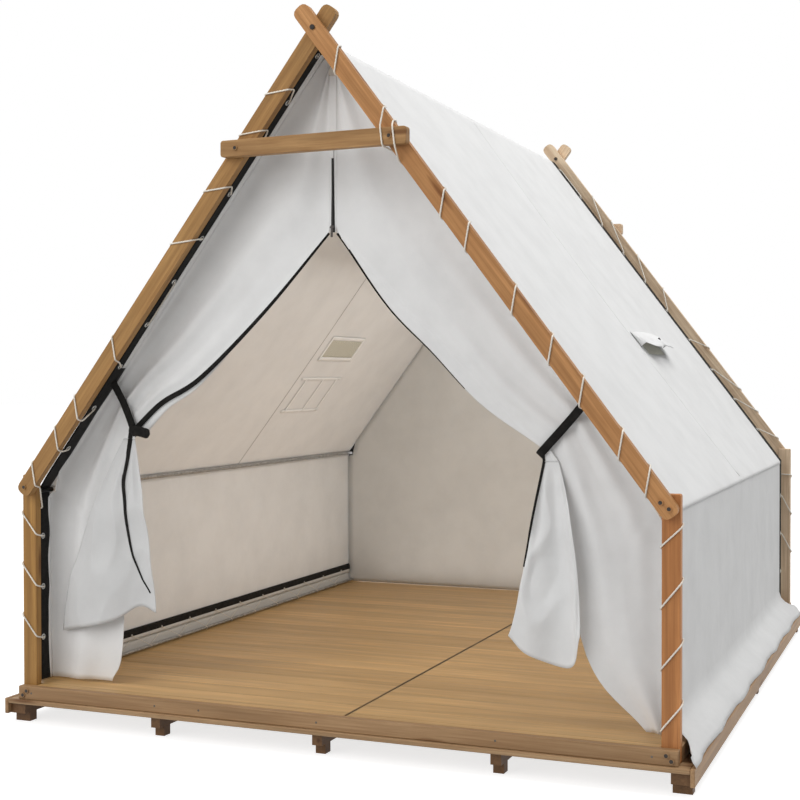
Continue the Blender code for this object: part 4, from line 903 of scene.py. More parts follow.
def add_end_boards(finish):
    """The floor's first and last boards, which reach the rims between the posts."""
    left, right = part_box("floor_panel_left"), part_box("floor_panel_right")
    reach = HALF_WIDTH - TIMBER_FACE - 0.002
    near, far = right[1].y + 0.0006, HALF_DEPTH + 0.0004
    for rear, turn in ((False, -1), (True, 1)):
        for name, start, end in (("left", -reach, left[1].x), ("right", right[0].x, reach)):
            work = bmesh.new()
            bmesh.ops.create_cube(work, size=1.0)
            size = Vector((end - start, far - near, left[1].z - left[0].z))
            middle = Vector(((start + end) / 2, turn * (near + far) / 2, (left[0].z + left[1].z) / 2))
            bmesh.ops.transform(work, verts=work.verts, matrix=Matrix.Translation(middle)
                                @ Matrix.Diagonal((*size, 1.0)))
            bmesh.ops.bevel(work, geom=work.edges[:], offset=0.0015, segments=2, affect="EDGES")
            made = link_mesh(f"{'rear' if rear else 'front'}_end_board_{name}", work, finish)
            made.data.set_sharp_from_angle(angle=math.radians(40))
            put_on(made, "tent")


def domed_head(work, place, outward, radius, height, sides=20):
    """A low domed head standing on a face."""
    seat = facing(place, outward)
    layers = []
    for reach, rise in ((1.0, 0.0), (1.0, 0.45), (0.86, 0.78), (0.55, 0.96)):
        layers.append([work.verts.new(seat @ Vector((radius * reach * x, radius * reach * y, height * rise)))
                       for x, y in circle(sides)])
    skin_rings(work, layers)


def bolt_places(rear):
    """Every bolt head on a frame's outer side: its place and the way it points."""
    whole = frame_matrix(rear)
    places = []
    for side in (-1, 1):
        rafter = whole @ rafter_matrix(side)
        first = RAFTER_CORNER + 0.006
        spots = ((first, -0.006), (first + 0.038, 0.006)) if side > 0 else ((first, -0.004),)
        outward = rafter.to_3x3() @ Vector((0, 0, 1))
        places += [(rafter @ Vector((x, y, TIMBER_THICK / 2)), outward) for x, y in spots]
    tie = whole @ tie_matrix()
    outward = tie.to_3x3() @ Vector((0, 0, 1))
    places += [(tie @ Vector((x, 0, TIMBER_THICK / 2)), outward)
               for x in (-tie_bolt_x(), tie_bolt_x())]
    outward = whole.to_3x3() @ Vector((0, -1, 0))
    for side in (-1, 1):
        x = side * (HALF_WIDTH - TIMBER_FACE / 2)
        for turn in (-1, 1):
            places.append((whole @ Vector((x + turn * side * 0.010, -TIMBER_THICK - GAP,
                                           -RIM_HEIGHT / 2 - turn * 0.010)), outward))
    return places


def add_bolts():
    finish = steel_finish("dark_bolt_steel", (0.05, 0.042, 0.038), 0.5, 0.6)
    for name, rear in FRAMES:
        work = bmesh.new()
        for place, outward in bolt_places(rear):
            domed_head(work, place + outward * 0.0002, outward, 0.0100, 0.0070)
        made = link_mesh(f"{name}_bolt_heads", work, finish)
        made.data.set_sharp_from_angle(angle=math.radians(50))
        put_on(made, "tent")
        give_finish(finish, f"{name}_apex_bolt")


def add_rim_screws():
    """Small screws along the front rim, whose heads lie almost flush."""
    finish = steel_finish("screw_steel", (0.16, 0.14, 0.12), 0.5)
    work = bmesh.new()
    for x in RIM_SCREWS:
        place = Vector((x, -HALF_DEPTH - TIMBER_THICK - GAP, DECK_HEIGHT - 0.5 * RIM_HEIGHT))
        domed_head(work, place, (0, -1, 0), 0.0048, 0.0008, 12)
    put_on(link_mesh("front_rim_screws", work, finish), "tent")


def finish_steel(colours):
    give_finish(steel_finish("galvanised_steel", colours.steel), "ridge_pole", "floor_rail_left",
                "floor_rail_right")
    give_finish(steel_finish("capped_steel", colours.steel, cap=PANEL_HALF), "eave_pole_left",
                "eave_pole_right")


# Canvas body

def roof_point(side, down, y, above=0.0, sag=0.015):
    """A point on the sagging roof, down the slope from the ridge, above it along its normal."""
    hang = sag * math.sin(math.pi * down / SLOPE_LENGTH) * math.cos(math.pi * y / (2 * PANEL_HALF))
    out = above - hang
    x = down * ROOF_COS + out * ROOF_SIN
    z = CLOTH_RIDGE - down * ROOF_SIN + out * ROOF_COS
    return deck_place(side, x, y, z)


def roof_wrinkle(side, down, y, depth):
    """Taut ripples that fan from the eyelets at both ends, and faint creases everywhere."""
    place = Vector((down, y, side))
    height = 0.35 * depth * wavy((down * 0.6, y * 1.5, side), 0.34)
    height += 0.25 * depth * creased((down * 2.0, y * 0.8, side), 0.22, 3.0) * wavy(place, 0.5, 8.0)
    from_end = PANEL_HALF - abs(y)
    pull = math.cos(2 * math.pi * (SLOPE_LENGTH - down - 0.05) / LACE_PITCH)
    height += 0.55 * depth * pull * math.exp(-from_end / 0.10) * min(1.0, from_end / 0.03)
    edges = min(1.0, down / 0.10) * min(1.0, (SLOPE_LENGTH - down) / 0.08)
    return height * edges * min(1.0, from_end / 0.02)


def add_roofs(sizes, colours):
    outer = canvas_finish("roof_canvas", colours.canvas, 0.10)
    edge = CAD_CLOTH / 2 * math.tan(ROOF_ANGLE) + GAP
    eave = SLOPE_LENGTH - CAD_CLOTH / 2 - GAP
    slot_down = (VENT_DOWN - VENT_LENGTH / 2, VENT_DOWN + VENT_LENGTH / 2)
    slot_y = (VENT_Y - VENT_WIDTH / 2, VENT_Y + VENT_WIDTH / 2)
    downs = spaced(edge, eave, 0.035, slot_down)
    ys = spaced(-PANEL_HALF, PANEL_HALF, 0.035, slot_y)
    hole = ((downs.index(slot_down[0]), downs.index(slot_down[1])),
            (ys.index(slot_y[0]), ys.index(slot_y[1])))
    for name, side in SIDES:
        rows = [[roof_point(side, down, y, roof_wrinkle(side, down, y, sizes.wrinkle),
                            sizes.roof_sag) for y in ys] for down in downs]
        for out, drop in EAVE_LAP:
            rows.append([deck_place(side, WALL_X + out, y, CLOTH_EAVE - drop) for y in ys])
        made = cloth(f"roof_canvas_{name}", rows, CLOTH, outer, (hole,))
        put_on(made, "tent", [f"roof_{name}"])
        seams = add_roof_seams(name, side, sizes, outer)
        net = add_vent_net(name, side, sizes)
        patch = add_vent_patch(name, side, sizes, colours)


def add_roof_seams(name, side, sizes, finish):
    """The flat seam where two widths of canvas join, and its dark stitching inside."""
    lines = (("seam", 0.0010, ((-0.011, 0.0), (-0.009, 0.0005), (0.009, 0.0005), (0.011, 0.0)), finish),
             ("stitching", -0.0016, ((-0.0022, 0.0), (0.0022, 0.0)), stitch_finish(name)))
    pieces = []
    for part, lift, profile, look in lines:
        rows = []
        for down in spaced(0.006, SLOPE_LENGTH - ROOF_SEAM_SHORT, 0.04):
            above = roof_wrinkle(side, down, ROOF_SEAM_Y, sizes.wrinkle) + lift
            rows.append([roof_point(side, down, ROOF_SEAM_Y + shift, above + rise, sizes.roof_sag)
                         for shift, rise in profile])
        made = cloth(f"roof_{part}_{name}", rows, 0.0008, look)
        pieces.append(put_on(made, "tent"))
    return pieces


def stitch_finish(name):
    """Grey thread, a stitch every 6 mm."""
    material, tree, shader = new_material(f"stitches_{name}")
    stitches = wave_texture(tree, place_texture(tree, source="UV"), "Y", 53.0)
    thread = colour_ramp(tree, stitches, ((0.3, (0.30, 0.28, 0.26)), (0.7, (0.44, 0.42, 0.39))))
    set_shader(tree, shader, thread, Roughness=0.8)
    return material


def add_vent_net(name, side, sizes):
    """Dense insect net across the vent: its mesh is in the finish."""
    finish, tree, shader = new_material(f"vent_net_{name}")
    mesh = woven(tree, place_texture(tree, source="UV"), 100.0)
    threads = colour_ramp(tree, mesh, ((0.2, (0.52, 0.51, 0.43)), (0.7, (0.76, 0.75, 0.66))))
    set_shader(tree, shader, threads, ((mesh, 0.0006, 0.5),), Roughness=0.8)
    half_down, half_y = VENT_LENGTH / 2 + 0.006, VENT_WIDTH / 2 + 0.006
    rows = [[roof_point(side, down, y, -0.0026, sizes.roof_sag)
             for y in spaced(VENT_Y - half_y, VENT_Y + half_y, 0.02)]
            for down in spaced(VENT_DOWN - half_down, VENT_DOWN + half_down, 0.02)]
    return put_on(cloth(f"vent_net_{name}", rows, 0.0008, finish), "tent")


def vent_strips():
    """The tapes' middle lines, from and to places down the roof and along the tent, and widths."""
    half_y, border = VENT_WIDTH / 2, VENT_BORDER
    head, foot = VENT_DOWN - VENT_LENGTH / 2, VENT_DOWN + VENT_LENGTH / 2
    strips = []
    for down, reach, width in ((head - border / 2, half_y + border, border),
                               (foot + border / 2, half_y + border, border),
                               (foot + COVER_DOWN[0], half_y + 0.06, COVER_TAPE),
                               (foot + COVER_DOWN[1], half_y + 0.04, COVER_TAPE)):
        strips.append(((down, VENT_Y - reach), (down, VENT_Y + reach), width))
    for y in (VENT_Y - half_y - border / 2, VENT_Y + half_y + border / 2):
        strips.append(((head - border, y), (foot + border, y), border))
    for beside in COVER_Y:
        y = VENT_Y + beside
        strips.append(((foot + COVER_DOWN[0] - COVER_TAPE / 2, y),
                       (foot + COVER_DOWN[1] + COVER_TAPE / 2, y), COVER_TAPE))
    return strips


def roof_tape(work, side, start, end, width, sag):
    """One tape under the roof, three points wide."""
    level = abs(start[0] - end[0]) < 1e-6
    grid = []
    for i in range(TAPE_STEPS + 1):
        down, y = (a + (b - a) * i / TAPE_STEPS for a, b in zip(start, end))
        row = []
        for aside in (-width / 2, 0, width / 2):
            shifted = (down + aside, y) if level else (down, y + aside)
            row.append(work.verts.new(roof_point(side, *shifted, TAPE_BELOW_ROOF, sag)))
        grid.append(row)
    for row, after in zip(grid, grid[1:]):
        for k in range(2):
            work.faces.new((row[k], row[k + 1], after[k + 1], after[k]))


def add_vent_patch(name, side, sizes, colours):
    """Inside the roof: a bound frame round the vent and the tapes of its inner cover."""
    # Painted light: the vent's tapes are the canvas painted lighter, for the light that comes through the
    # vent
    finish = canvas_finish(f"vent_patch_{name}", shade(colours.canvas, 1.12), 0.3)
    work = bmesh.new()
    for start, end, width in vent_strips():
        roof_tape(work, side, start, end, width, sizes.roof_sag)
    made = link_mesh(f"vent_tapes_{name}", work, finish)
    thicken = made.modifiers.new("tape_thickness", "SOLIDIFY")
    thicken.thickness = 0.0012
    return put_on(made, "tent")


def hood_point(side, along, across, sizes):
    """The puffed hood over a vent, from its seam at the upper edge."""
    hinge_down = VENT_DOWN - VENT_LENGTH / 2 - HOOD_LAP
    y = VENT_Y + HOOD_WIDTH * (across - 0.5)
    puff = HOOD_PUFF * math.sin(math.pi * across) ** 0.8 * along ** 0.55
    puff *= 1.0 + 0.30 * wavy((along * 3.0, across * 6.0, side), 1.0, 5.0)
    pucker = HOOD_PUCKER * fold_wave(2 * math.pi * HOOD_GATHERS * across)
    pucker *= (1.0 - along) * math.sin(math.pi * across)
    run = HOOD_LENGTH * along * (0.88 - 0.05 * math.cos(4 * math.pi * across)
                                 - 0.22 * along * (2 * across - 1) ** 8)
    start = roof_point(side, hinge_down, y, CAD_CLOTH + GAP, sizes.roof_sag)
    down = Vector((side * ROOF_COS, 0, -ROOF_SIN))
    out = roof_normal(side)
    return (start + down * (run * math.cos(HOOD_OPEN))
            + out * (run * math.sin(HOOD_OPEN) + puff * (1.0 - 0.60 * along ** 4) + pucker))


def add_hood_cheek(name, side, across, sizes, finish):
    """The gusset between an end of the hood and the roof."""
    outward = 1 if across > 0.5 else -1
    out = roof_normal(side)
    hinge = hood_point(side, 0.0, across, sizes)
    rows = []
    for t in (0.0, 0.2, 0.4, 0.6, 0.8, 1.0):
        row = []
        for i in range(11):
            top = hood_point(side, 0.05 + 0.095 * i, across, sizes)
            foot = top - out * ((top - hinge).dot(out) - 0.0015)
            bulge = 0.001 + (0.006 + 0.002 * math.cos(9.0 * i)) * math.sin(math.pi * t)
            row.append(foot.lerp(top, t) + Vector((0, outward * bulge, 0)))
        rows.append(row)
    made = cloth(f"vent_cheek_{name}_{'rear' if outward > 0 else 'front'}", rows, 0.0010, finish)
    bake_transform(made)
    return made


def add_vent_hoods(sizes, colours):
    finish = canvas_finish("hood_canvas", colours.canvas, 1.0)
    dark = webbing_finish("toggle_cord", colours.webbing)
    for name, side in SIDES:
        rows = [[hood_point(side, i / 14, j / 40, sizes) for j in range(41)] for i in range(15)]
        made = cloth(f"vent_hood_canvas_{name}", rows, CLOTH, finish)
        put_on(made, f"vent_hood_{name}_body", [f"vent_hood_{name}"])
        work = bmesh.new()
        centre = hood_point(side, 0.66, 0.45, sizes)
        out = roof_normal(side)
        domed_head(work, centre + out * 0.001, out, 0.009, 0.008, 16)
        toggle = put_on(link_mesh(f"vent_toggle_{name}", work, dark),
                        f"vent_hood_{name}_body")
        cheeks = [add_hood_cheek(name, side, across, sizes, finish) for across in (0.0, 1.0)]


def wall_profile():
    """Side wall from the eave down and its skirt out over the rim: x and height above deck."""
    top = CLOTH_EAVE - CAD_CLOTH / 2 - GAP
    corners = [(WALL_X, top)] + [(WALL_X + share * SKIRT_OUT, z) for share, z in SKIRT_BENDS]
    corners.append((WALL_X + SKIRT_OUT, SKIRT_FOOT))
    points = []
    for (x, z), (x_next, z_next) in zip(corners, corners[1:]):
        count = max(1, round(math.hypot(x_next - x, z_next - z) / 0.022))
        points += [(x + (x_next - x) * i / count, z + (z_next - z) * i / count)
                   for i in range(count)]
    return points + [corners[-1]]


def wall_wrinkle(side, y, height, depth):
    """Upright creases of canvas held at the eave and at the foot, and sideways drags."""
    high = limited((CLOTH_EAVE - height) / 0.06) * limited((height + 0.02) / 0.10)
    value = 1.1 * wavy((y * 2.6, height * 0.6, side), 0.42)
    value += 0.8 * (creased((y * 5.0, height * 1.1, side), 0.30, 2.0) - 0.35)
    value += 0.5 * (creased((y * 1.4, height * 2.6, side), 0.30, 6.0) - 0.35)
    from_end = PANEL_HALF - abs(y)
    pull = math.cos(2 * math.pi * (height - POST_EYELET_HEIGHT) / LACE_PITCH)
    value += 0.7 * pull * math.exp(-from_end / 0.12) * min(1.0, from_end / 0.03)
    return depth * 0.75 * value * high * min(1.0, from_end / 0.03)


def add_side_walls(sizes, colours):
    """The skirt runs on past the outer side of the posts, further on the right than on the left."""
    # Painted shade: the wall's canvas is painted a little darker than the roof's
    finish = canvas_finish("wall_canvas", shade(colours.canvas, 0.97), 1.0)
    profile = wall_profile()
    along = 110
    for name, side in SIDES:
        rows = []
        for x, height in profile:
            flare = max(0.0, (x - WALL_X) / SKIRT_OUT)
            past_post = limited((flare - 0.5) / 0.12)
            row = []
            for j in range(along + 1):
                share = 2 * j / along - 1
                reach = PANEL_HALF + past_post * (SKIRT_FORWARD[name] if share < 0 else SKIRT_BACK)
                ripple = 0.006 * flare * math.cos(math.pi * 6 * share)
                ripple += 0.004 * flare * wavy((reach * share * 4.0, 0, side), 0.4)
                inward = wall_wrinkle(side, reach * share, height, sizes.wrinkle)
                row.append(deck_place(side, x + ripple + inward, reach * share, height))
            rows.append(row)
        made = cloth(f"side_wall_canvas_{name}", rows, CLOTH, finish)
        put_on(made, "tent", [f"side_wall_{name}"])


def gable_corner(side, seam=GAP):
    """Inner outline of roof and wall, clear of the eave pole and of the ridge pole."""
    inset = CAD_CLOTH / 2 + seam
    wall = WALL_X - inset
    stand = CAD_CLOTH / 2 + POLE_RADIUS + GAP
    pole_x = WALL_X - stand
    pole_height = CLOTH_RIDGE - pole_x * math.tan(ROOF_ANGLE) - stand / ROOF_COS
    clear = 2 * POLE_RADIUS
    roof_x = pole_x - 2 * clear
    top_x = 2.2 * POLE_RADIUS

    def roof_height(x):
        return CLOTH_RIDGE - x * math.tan(ROOF_ANGLE) - inset / ROOF_COS - GAP

    points = [(wall, pole_height - clear), (pole_x - clear, pole_height - 0.6 * clear),
              (roof_x, roof_height(roof_x)), (top_x, roof_height(top_x))]
    return [(side * x, z) for x, z in points]


def skirt_reach(height):
    """How far the side wall has flared out at a height above the deck."""
    profile = wall_profile()
    for (x, z), (x_next, z_next) in zip(profile, profile[1:]):
        if z_next <= height <= z:
            return x + (x_next - x) * (z - height) / (z - z_next) - WALL_X
    return 0.0


def rear_wall_half(outline, z):
    """Half the rear wall's width at a height; near the deck it spreads with the skirts."""
    for (x_a, z_a), (x_b, z_b) in zip(outline, outline[1:]):
        if z_a <= z <= z_b:
            break
    half = x_a + (x_b - x_a) * (z - z_a) / max(z_b - z_a, 1e-9)
    return half + max(0.0, skirt_reach(z) - 0.004)


def rear_wall_row(half, z, depth):
    """Points across the rear wall at one height, creased but calm at its edges."""
    row, across = [], 60
    for j in range(across + 1):
        share = 2 * j / across - 1
        x = half * share
        edge = min(1.0, (1 - abs(share)) * half / 0.08) * min(1.0, z / 0.10)
        wave = wavy((x * 2.2, z * 0.8, 4.0), 0.5)
        wave += 0.5 * (creased((x * 1.2, z * 1.6, 7.0), 0.5) - 0.35)
        row.append(Vector((x, HALF_DEPTH - FRONT_CLOTH_Y + 1.6 * depth * wave * edge, DECK_HEIGHT + z)))
    return row


def add_rear_wall(sizes, colours):
    """One gable sheet from floor to ridge, in rows that follow its outline."""
    finish = canvas_finish("rear_wall_canvas", colours.lining, 0.6)
    outline = [(WALL_X - CAD_CLOTH / 2 - GAP, REAR_FOOT)] + gable_corner(1)
    marks = [z for _, z in outline] + [z for _, z in SKIRT_BENDS[:3]]
    rows = [rear_wall_row(rear_wall_half(outline, z), z, sizes.wrinkle)
            for z in spaced(REAR_FOOT, outline[-1][1], 0.04, marks)]
    made = cloth("rear_wall_canvas", rows, CLOTH, finish)
    put_on(made, "tent", ["rear_wall"])


# Edge webbing, eyelets and lacing

def webbing_line():
    """The line of wall, eave and ridge that the edge webbing follows: x, height and normal."""
    points = []
    foot = 0.012
    for z in spaced(foot, CLOTH_EAVE, 0.03):
        points.append((WALL_X, z, (1.0, 0.0)))
    for share in spaced(0.0, 1.0, 0.0125)[1:]:
        x = WALL_X * (1 - share)
        normal = (ROOF_SIN, ROOF_COS) if share < 1.0 else (0.0, 1.0)
        points.append((x, CLOTH_RIDGE - x * math.tan(ROOF_ANGLE), normal))
    left = [(-x, z, (-n[0], n[1])) for x, z, n in points[:-1]]
    return points + left[::-1]


def add_edge_webbing(colours):
    """The bands that carry the eyelets; above the eaves the lacing draws their free edge out."""
    finish = webbing_finish("black_webbing", colours.webbing)
    line = webbing_line()
    for name, rear in FRAMES:
        rows = []
        for x, z, normal in line:
            row = []
            drawn = WEBBING_DRAWN * limited((z - EAVE_HEIGHT - 0.02) / 0.05)
            for s in (0.0, 0.2, 0.4, 0.6, 0.8, 1.0):
                y = WEBBING_START + WEBBING_WIDTH * s - drawn * (1.0 - s)
                lift = 0.0007 * wavy((x * 6, z * 6, s * 3 + rear), 0.6)
                place = Vector((x + normal[0] * lift, y, z + normal[1] * lift))
                row.append(frame_matrix(rear) @ place)
            rows.append(row)
        made = cloth(f"{name}_edge_band", rows, 0.0024, finish)
        put_on(made, "tent", [f"{name}_edge_webbing"])
        eyelets = add_eyelets(f"{name}_eyelets", rear)


def eyelet_ring(work, centre, outward, hole, outer, height, turns=20):
    """A pressed ring: flat flange, raised lip round the hole, on both sides of the band."""
    seat = facing(centre, outward)
    mid = (hole + outer) / 2
    profile = ((hole, -height * 0.6), (hole, height * 0.6), (hole + 0.0012, height),
               (mid, height * 0.8), (outer, 0.0016), (outer, -0.0016), (mid, -height * 0.8),
               (hole + 0.0012, -height))
    rings = [[work.verts.new(seat @ Vector((r * x, r * y, h))) for r, h in profile]
             for x, y in circle(turns)]
    for k, ring in enumerate(rings):
        after = rings[(k + 1) % turns]
        for i in range(len(profile)):
            m = (i + 1) % len(profile)
            work.faces.new((ring[i], after[i], after[m], ring[m]))


def add_eyelets(name, rear):
    finish = steel_finish("eyelet_steel", (0.62, 0.62, 0.60), 0.3)
    work = bmesh.new()
    whole = frame_matrix(rear)
    for side in (-1, 1):
        for centre, outward in post_eyelet_places(side) + rafter_eyelet_places(side):
            eyelet_ring(work, whole @ centre, whole.to_3x3() @ outward, 0.0078, 0.0140, 0.0028)
    return put_on(link_mesh(name, work, finish), "tent")


# How far past the eyelet below it each crossing of the hand-tied lace starts
RIGHT_CROSSINGS = (0.087, 0.026, 0.045, 0.015, 0.027, 0.112, 0.050, 0.0, 0.0, 0.110)
LEFT_LOWER_CROSSINGS = (0.042, 0.014, -0.045, 0.050)
LEFT_UPPER_CROSSINGS = (0.150, 0.190, 0.244, 0.215)
# Strands over the tie: place beside the tie's bolt, place along the rafter below the tie
TIE_STRANDS = {7: (0.020, -0.050), 8: (-0.034, 0.020)}


def lace_corners(place, inner, outer, rising=True):
    """Where a crossing bends round the timber; inner and outer are distances along it."""
    clear = LACE_RADIUS + GAP
    near = TIMBER_FACE / 2 + clear
    deep = TIMBER_THICK / 2 + clear
    ends = ((inner, near), (outer, -near))
    (low, first), (high, last) = ends if rising else ends[::-1]
    corners = ((low - LACE_CORNER, first, -deep), (low, first, deep),
               (high, last, deep), (high + LACE_CORNER, last, -deep))
    return [place @ Vector(corner) for corner in corners]


def eyelet_sides(eyelet):
    centre, outward = eyelet
    step = outward * (WEBBING / 2 + LACE_RADIUS + 0.002)
    return [centre - step, centre + step]


def tie_strand_corners(place, bolt_side, under_tie):
    """A crossing whose strand lies on the tie's front, a little to one side of its bolt."""
    x = tie_bolt_x() + bolt_side
    clear = LACE_RADIUS + GAP
    reach = TIE_FACE / 2 + clear
    low, high = [tie_matrix() @ Vector((x + shift, height, TIMBER_THICK / 2 + clear))
                 for shift, height in ((LACE_ON_TIE / 2, -reach), (-LACE_ON_TIE / 2, reach))]
    inner = (TIE_HEIGHT - TIE_FACE / 2 - EAVE_HEIGHT) / ROOF_SIN + under_tie
    corners = lace_corners(place, inner, inner + TIE_CROSSING)
    keep = 2 if under_tie < 0 else 1
    return corners[:keep] + [low, high] + corners[2:]


def post_points(side):
    """The lace up one post; it comes off the post's outer corner below the eave."""
    place, rise = post_matrix(side), LACE_RISE[side]
    heights = [POST_EYELET_HEIGHT + i * LACE_PITCH + rise for i in range(POST_EYELETS)]
    points = []
    if side > 0:
        first = heights[0] - LACE_PITCH
        points += lace_corners(place, first, first + POST_CROSSING)
    for eyelet, height in zip(post_eyelet_places(side), heights):
        outer = min(height + POST_CROSSING, POST_LACE_TOP)
        points += reversed(eyelet_sides(eyelet))
        points += lace_corners(place, height, outer)
    clear = LACE_RADIUS + GAP
    points.append(place @ Vector((outer + LACE_CORNER + clear, TIMBER_FACE / 2 + clear,
                                  -TIMBER_THICK / 2 - clear)))
    return points


def lace_points(side):
    """The whole lace of one side, from the post's foot to the ridge, in a frame's own places."""
    points = post_points(side)
    rafter, place = rafter_eyelet_places(side), rafter_matrix(side)

    def eyelet_distance(index):
        return RAFTER_EYELET_START + index * LACE_PITCH

    for i, past in enumerate(RIGHT_CROSSINGS if side > 0 else LEFT_LOWER_CROSSINGS):
        inner = eyelet_distance(i - 1) + past
        if side > 0 and i in TIE_STRANDS:
            points += tie_strand_corners(place, *TIE_STRANDS[i])
        else:
            points += lace_corners(place, inner, inner + RAFTER_CROSSING)
        points += eyelet_sides(rafter[i])[::-1]
    if side > 0:
        return points
    change = len(LEFT_LOWER_CROSSINGS)
    points += eyelet_sides(rafter[change])
    for i, past in enumerate(LEFT_UPPER_CROSSINGS, change + 1):
        outer = eyelet_distance(i - 1) + past
        points += lace_corners(place, outer + RAFTER_CROSSING, outer, rising=False)
        points += eyelet_sides(rafter[i])
    return points + eyelet_sides(rafter[change + len(LEFT_UPPER_CROSSINGS) + 1])[::-1]


def add_laces(colours):
    finish = rope_finish("laid_rope", colours.rope)
    for frame_name, rear in FRAMES:
        for side in (-1, 1):
            name = f"{frame_name}_{frame_side_name(rear, side)}"
            points = [frame_matrix(rear) @ point for point in lace_points(side)]
            made = laid_rope(f"{name}_rope", points, LACE_RADIUS, finish)
            put_on(made, "tent", [f"{name}_lace"])


# Lacing along the floor

def floor_strip_half():
    return FLOOR_EYELET_PITCH * FLOOR_EYELETS / 2


def floor_strip_centre():
    return HALF_DEPTH - FRONT_CLOTH_Y - CAD_CLOTH - floor_strip_half()


def floor_lace_points(side):
    """Down from each eyelet, under the rail and up behind the strip to the next eyelet."""
    strip_x = WALL_X - FLOOR_STRIP_STANDOFF
    stand = WEBBING / 2 + FLOOR_LACE_RADIUS + 2 * GAP
    turn = (RAIL_RADIUS + FLOOR_LACE_RADIUS + 2 * GAP) / math.cos(math.pi / 8)
    rail_height = turn + FLOOR_LACE_RADIUS + GAP
    first = floor_strip_centre() - floor_strip_half() + FLOOR_EYELET_PITCH / 2
    points = []
    for index in range(FLOOR_EYELETS):
        y = first + index * FLOOR_EYELET_PITCH
        points += [(strip_x + stand, y, FLOOR_EYELET_HEIGHT),
                   (strip_x - stand, y, FLOOR_EYELET_HEIGHT)]
        if index == FLOOR_EYELETS - 1:
            break
        for step, degrees in enumerate((165, 210, 255, 300, 345)):
            points.append((WALL_X - RAIL_INSET + turn * math.cos(math.radians(degrees)),
                           y + FLOOR_EYELET_PITCH / 2 + 0.003 * (step - 2),
                           rail_height + turn * math.sin(math.radians(degrees))))
        points.append((strip_x + stand, y + 0.93 * FLOOR_EYELET_PITCH,
                       FLOOR_EYELET_HEIGHT - FLOOR_STRIP_RISE))
    return [deck_place(side, x, y, z) for x, y, z in points]


def add_apron(name, side, ys, finish):
    """The wall's inner hem, which hangs behind the floor strip down to the boards."""
    rows = [[deck_place(side, WALL_X - x - 0.0008 * wavy((y, z * 4, side), 0.1), y, z)
             for y in ys] for x, z in ((0.006, 0.072), (0.009, 0.045), (0.012, 0.020), (0.013, 0.004))]
    return put_on(cloth(f"floor_apron_{name}", rows, 0.0010, finish), "tent")


def add_floor_band(name, side, ys, finish, pale):
    """The strip along the wall's foot: it comes off the wall, hangs flat and is pale below."""
    top = FLOOR_EYELET_HEIGHT + FLOOR_STRIP_RISE
    flat = WALL_X - FLOOR_STRIP_STANDOFF
    profile = ((WALL_X - 0.0035, top + 0.001), (WALL_X - 0.009, top), (flat, top - 0.006),
               (flat, top - 0.020), (flat, top - 0.034), (flat, top - 0.044),
               (flat, FLOOR_EYELET_HEIGHT - 0.023))
    rows = [[deck_place(side, x + 0.0006 * wavy((y, z * 4, side), 0.08), y, z) for y in ys]
            for x, z in profile]
    made = cloth(f"floor_band_{name}", rows, 0.0022, finish)
    made.data.materials.append(pale)
    fold = DECK_HEIGHT + FLOOR_EYELET_HEIGHT - 0.004
    for face in made.data.polygons:
        face.material_index = int(face.center.z < fold)
    return put_on(made, "tent", [f"floor_strip_{name}"])


def add_floor_eyelets(name, side, start, finish):
    work = bmesh.new()
    for index in range(FLOOR_EYELETS):
        place = deck_place(side, WALL_X - FLOOR_STRIP_STANDOFF,
                           start + FLOOR_EYELET_PITCH * (index + 0.5), FLOOR_EYELET_HEIGHT)
        eyelet_ring(work, place, (side, 0, 0), 0.0036, 0.0078, 0.0022, 14)
    return put_on(link_mesh(f"floor_eyelets_{name}", work, finish), "tent")


def add_floor_strips(colours):
    finish = webbing_finish("floor_webbing", colours.webbing)
    ring = steel_finish("small_eyelet_steel", (0.55, 0.55, 0.53), 0.3)
    rope = rope_finish("floor_cord", colours.rope)
    pale = canvas_finish("floor_strip_canvas", colours.lining, 0.6)
    centre, half = floor_strip_centre(), floor_strip_half()
    ys = spaced(centre - half, centre + half, 0.03)
    for name, side in SIDES:
        made = add_floor_band(name, side, ys, finish, pale)
        apron = add_apron(name, side, ys, pale)
        rings = add_floor_eyelets(name, side, centre - half, ring)
        cord = laid_rope(f"floor_cord_{name}", floor_lace_points(side), FLOOR_LACE_RADIUS, rope,
                         step=0.005, sides=6, strands=2)
        put_on(cord, "tent", [f"floor_lace_{name}"])


# Entrance

def leaf_outer_lines(name, side):
    """Where the leaf is sewn to roof and wall, above and below the strap's anchor."""
    corner = gable_corner(side, 0.0008)
    anchor_x = abs(STRAP_ANCHOR[name][0])
    slope = (anchor_x - abs(corner[3][0])) / (abs(corner[2][0]) - abs(corner[3][0]))
    anchor = (side * anchor_x, corner[3][1] + slope * (corner[2][1] - corner[3][1]))
    top = (side * (ZIP_TAPE_HALF + GAP), corner[3][1] - 0.012)
    foot = (corner[0][0], 0.012)
    return (top, corner[3], anchor), (anchor, corner[2], corner[1], corner[0], foot)


def leaf_inner_lines(name, side):
    """The free edge: down beside the zip, in a curve out to the tie-back, then on to the floor."""
    beside_zip = side * (ZIP_TAPE_HALF + GAP)
    drawn = smooth_curve(((beside_zip, ZIP_OPEN_HEIGHT),) + LEAF_EDGE[name] + (TIE_BACK[name],))
    low = smooth_curve((TIE_BACK[name],) + LEAF_LOW_EDGE[name])
    return [Vector((beside_zip, ZIP_TAPE_TOP - 0.02))] + drawn, low


def flap_axis(name, side):
    x, height = TIE_BACK[name]
    return front_place(x + side * BUNCH / 2, FRONT_CLOTH_Y - CAD_CLOTH - 0.0008, height - FLAP_DROP)


def fold_wave(phase):
    """Rounded ridges with narrower valleys between them, from minus one to one."""
    return 1.0 - 2.0 * (0.5 + 0.5 * math.cos(phase)) ** 1.6


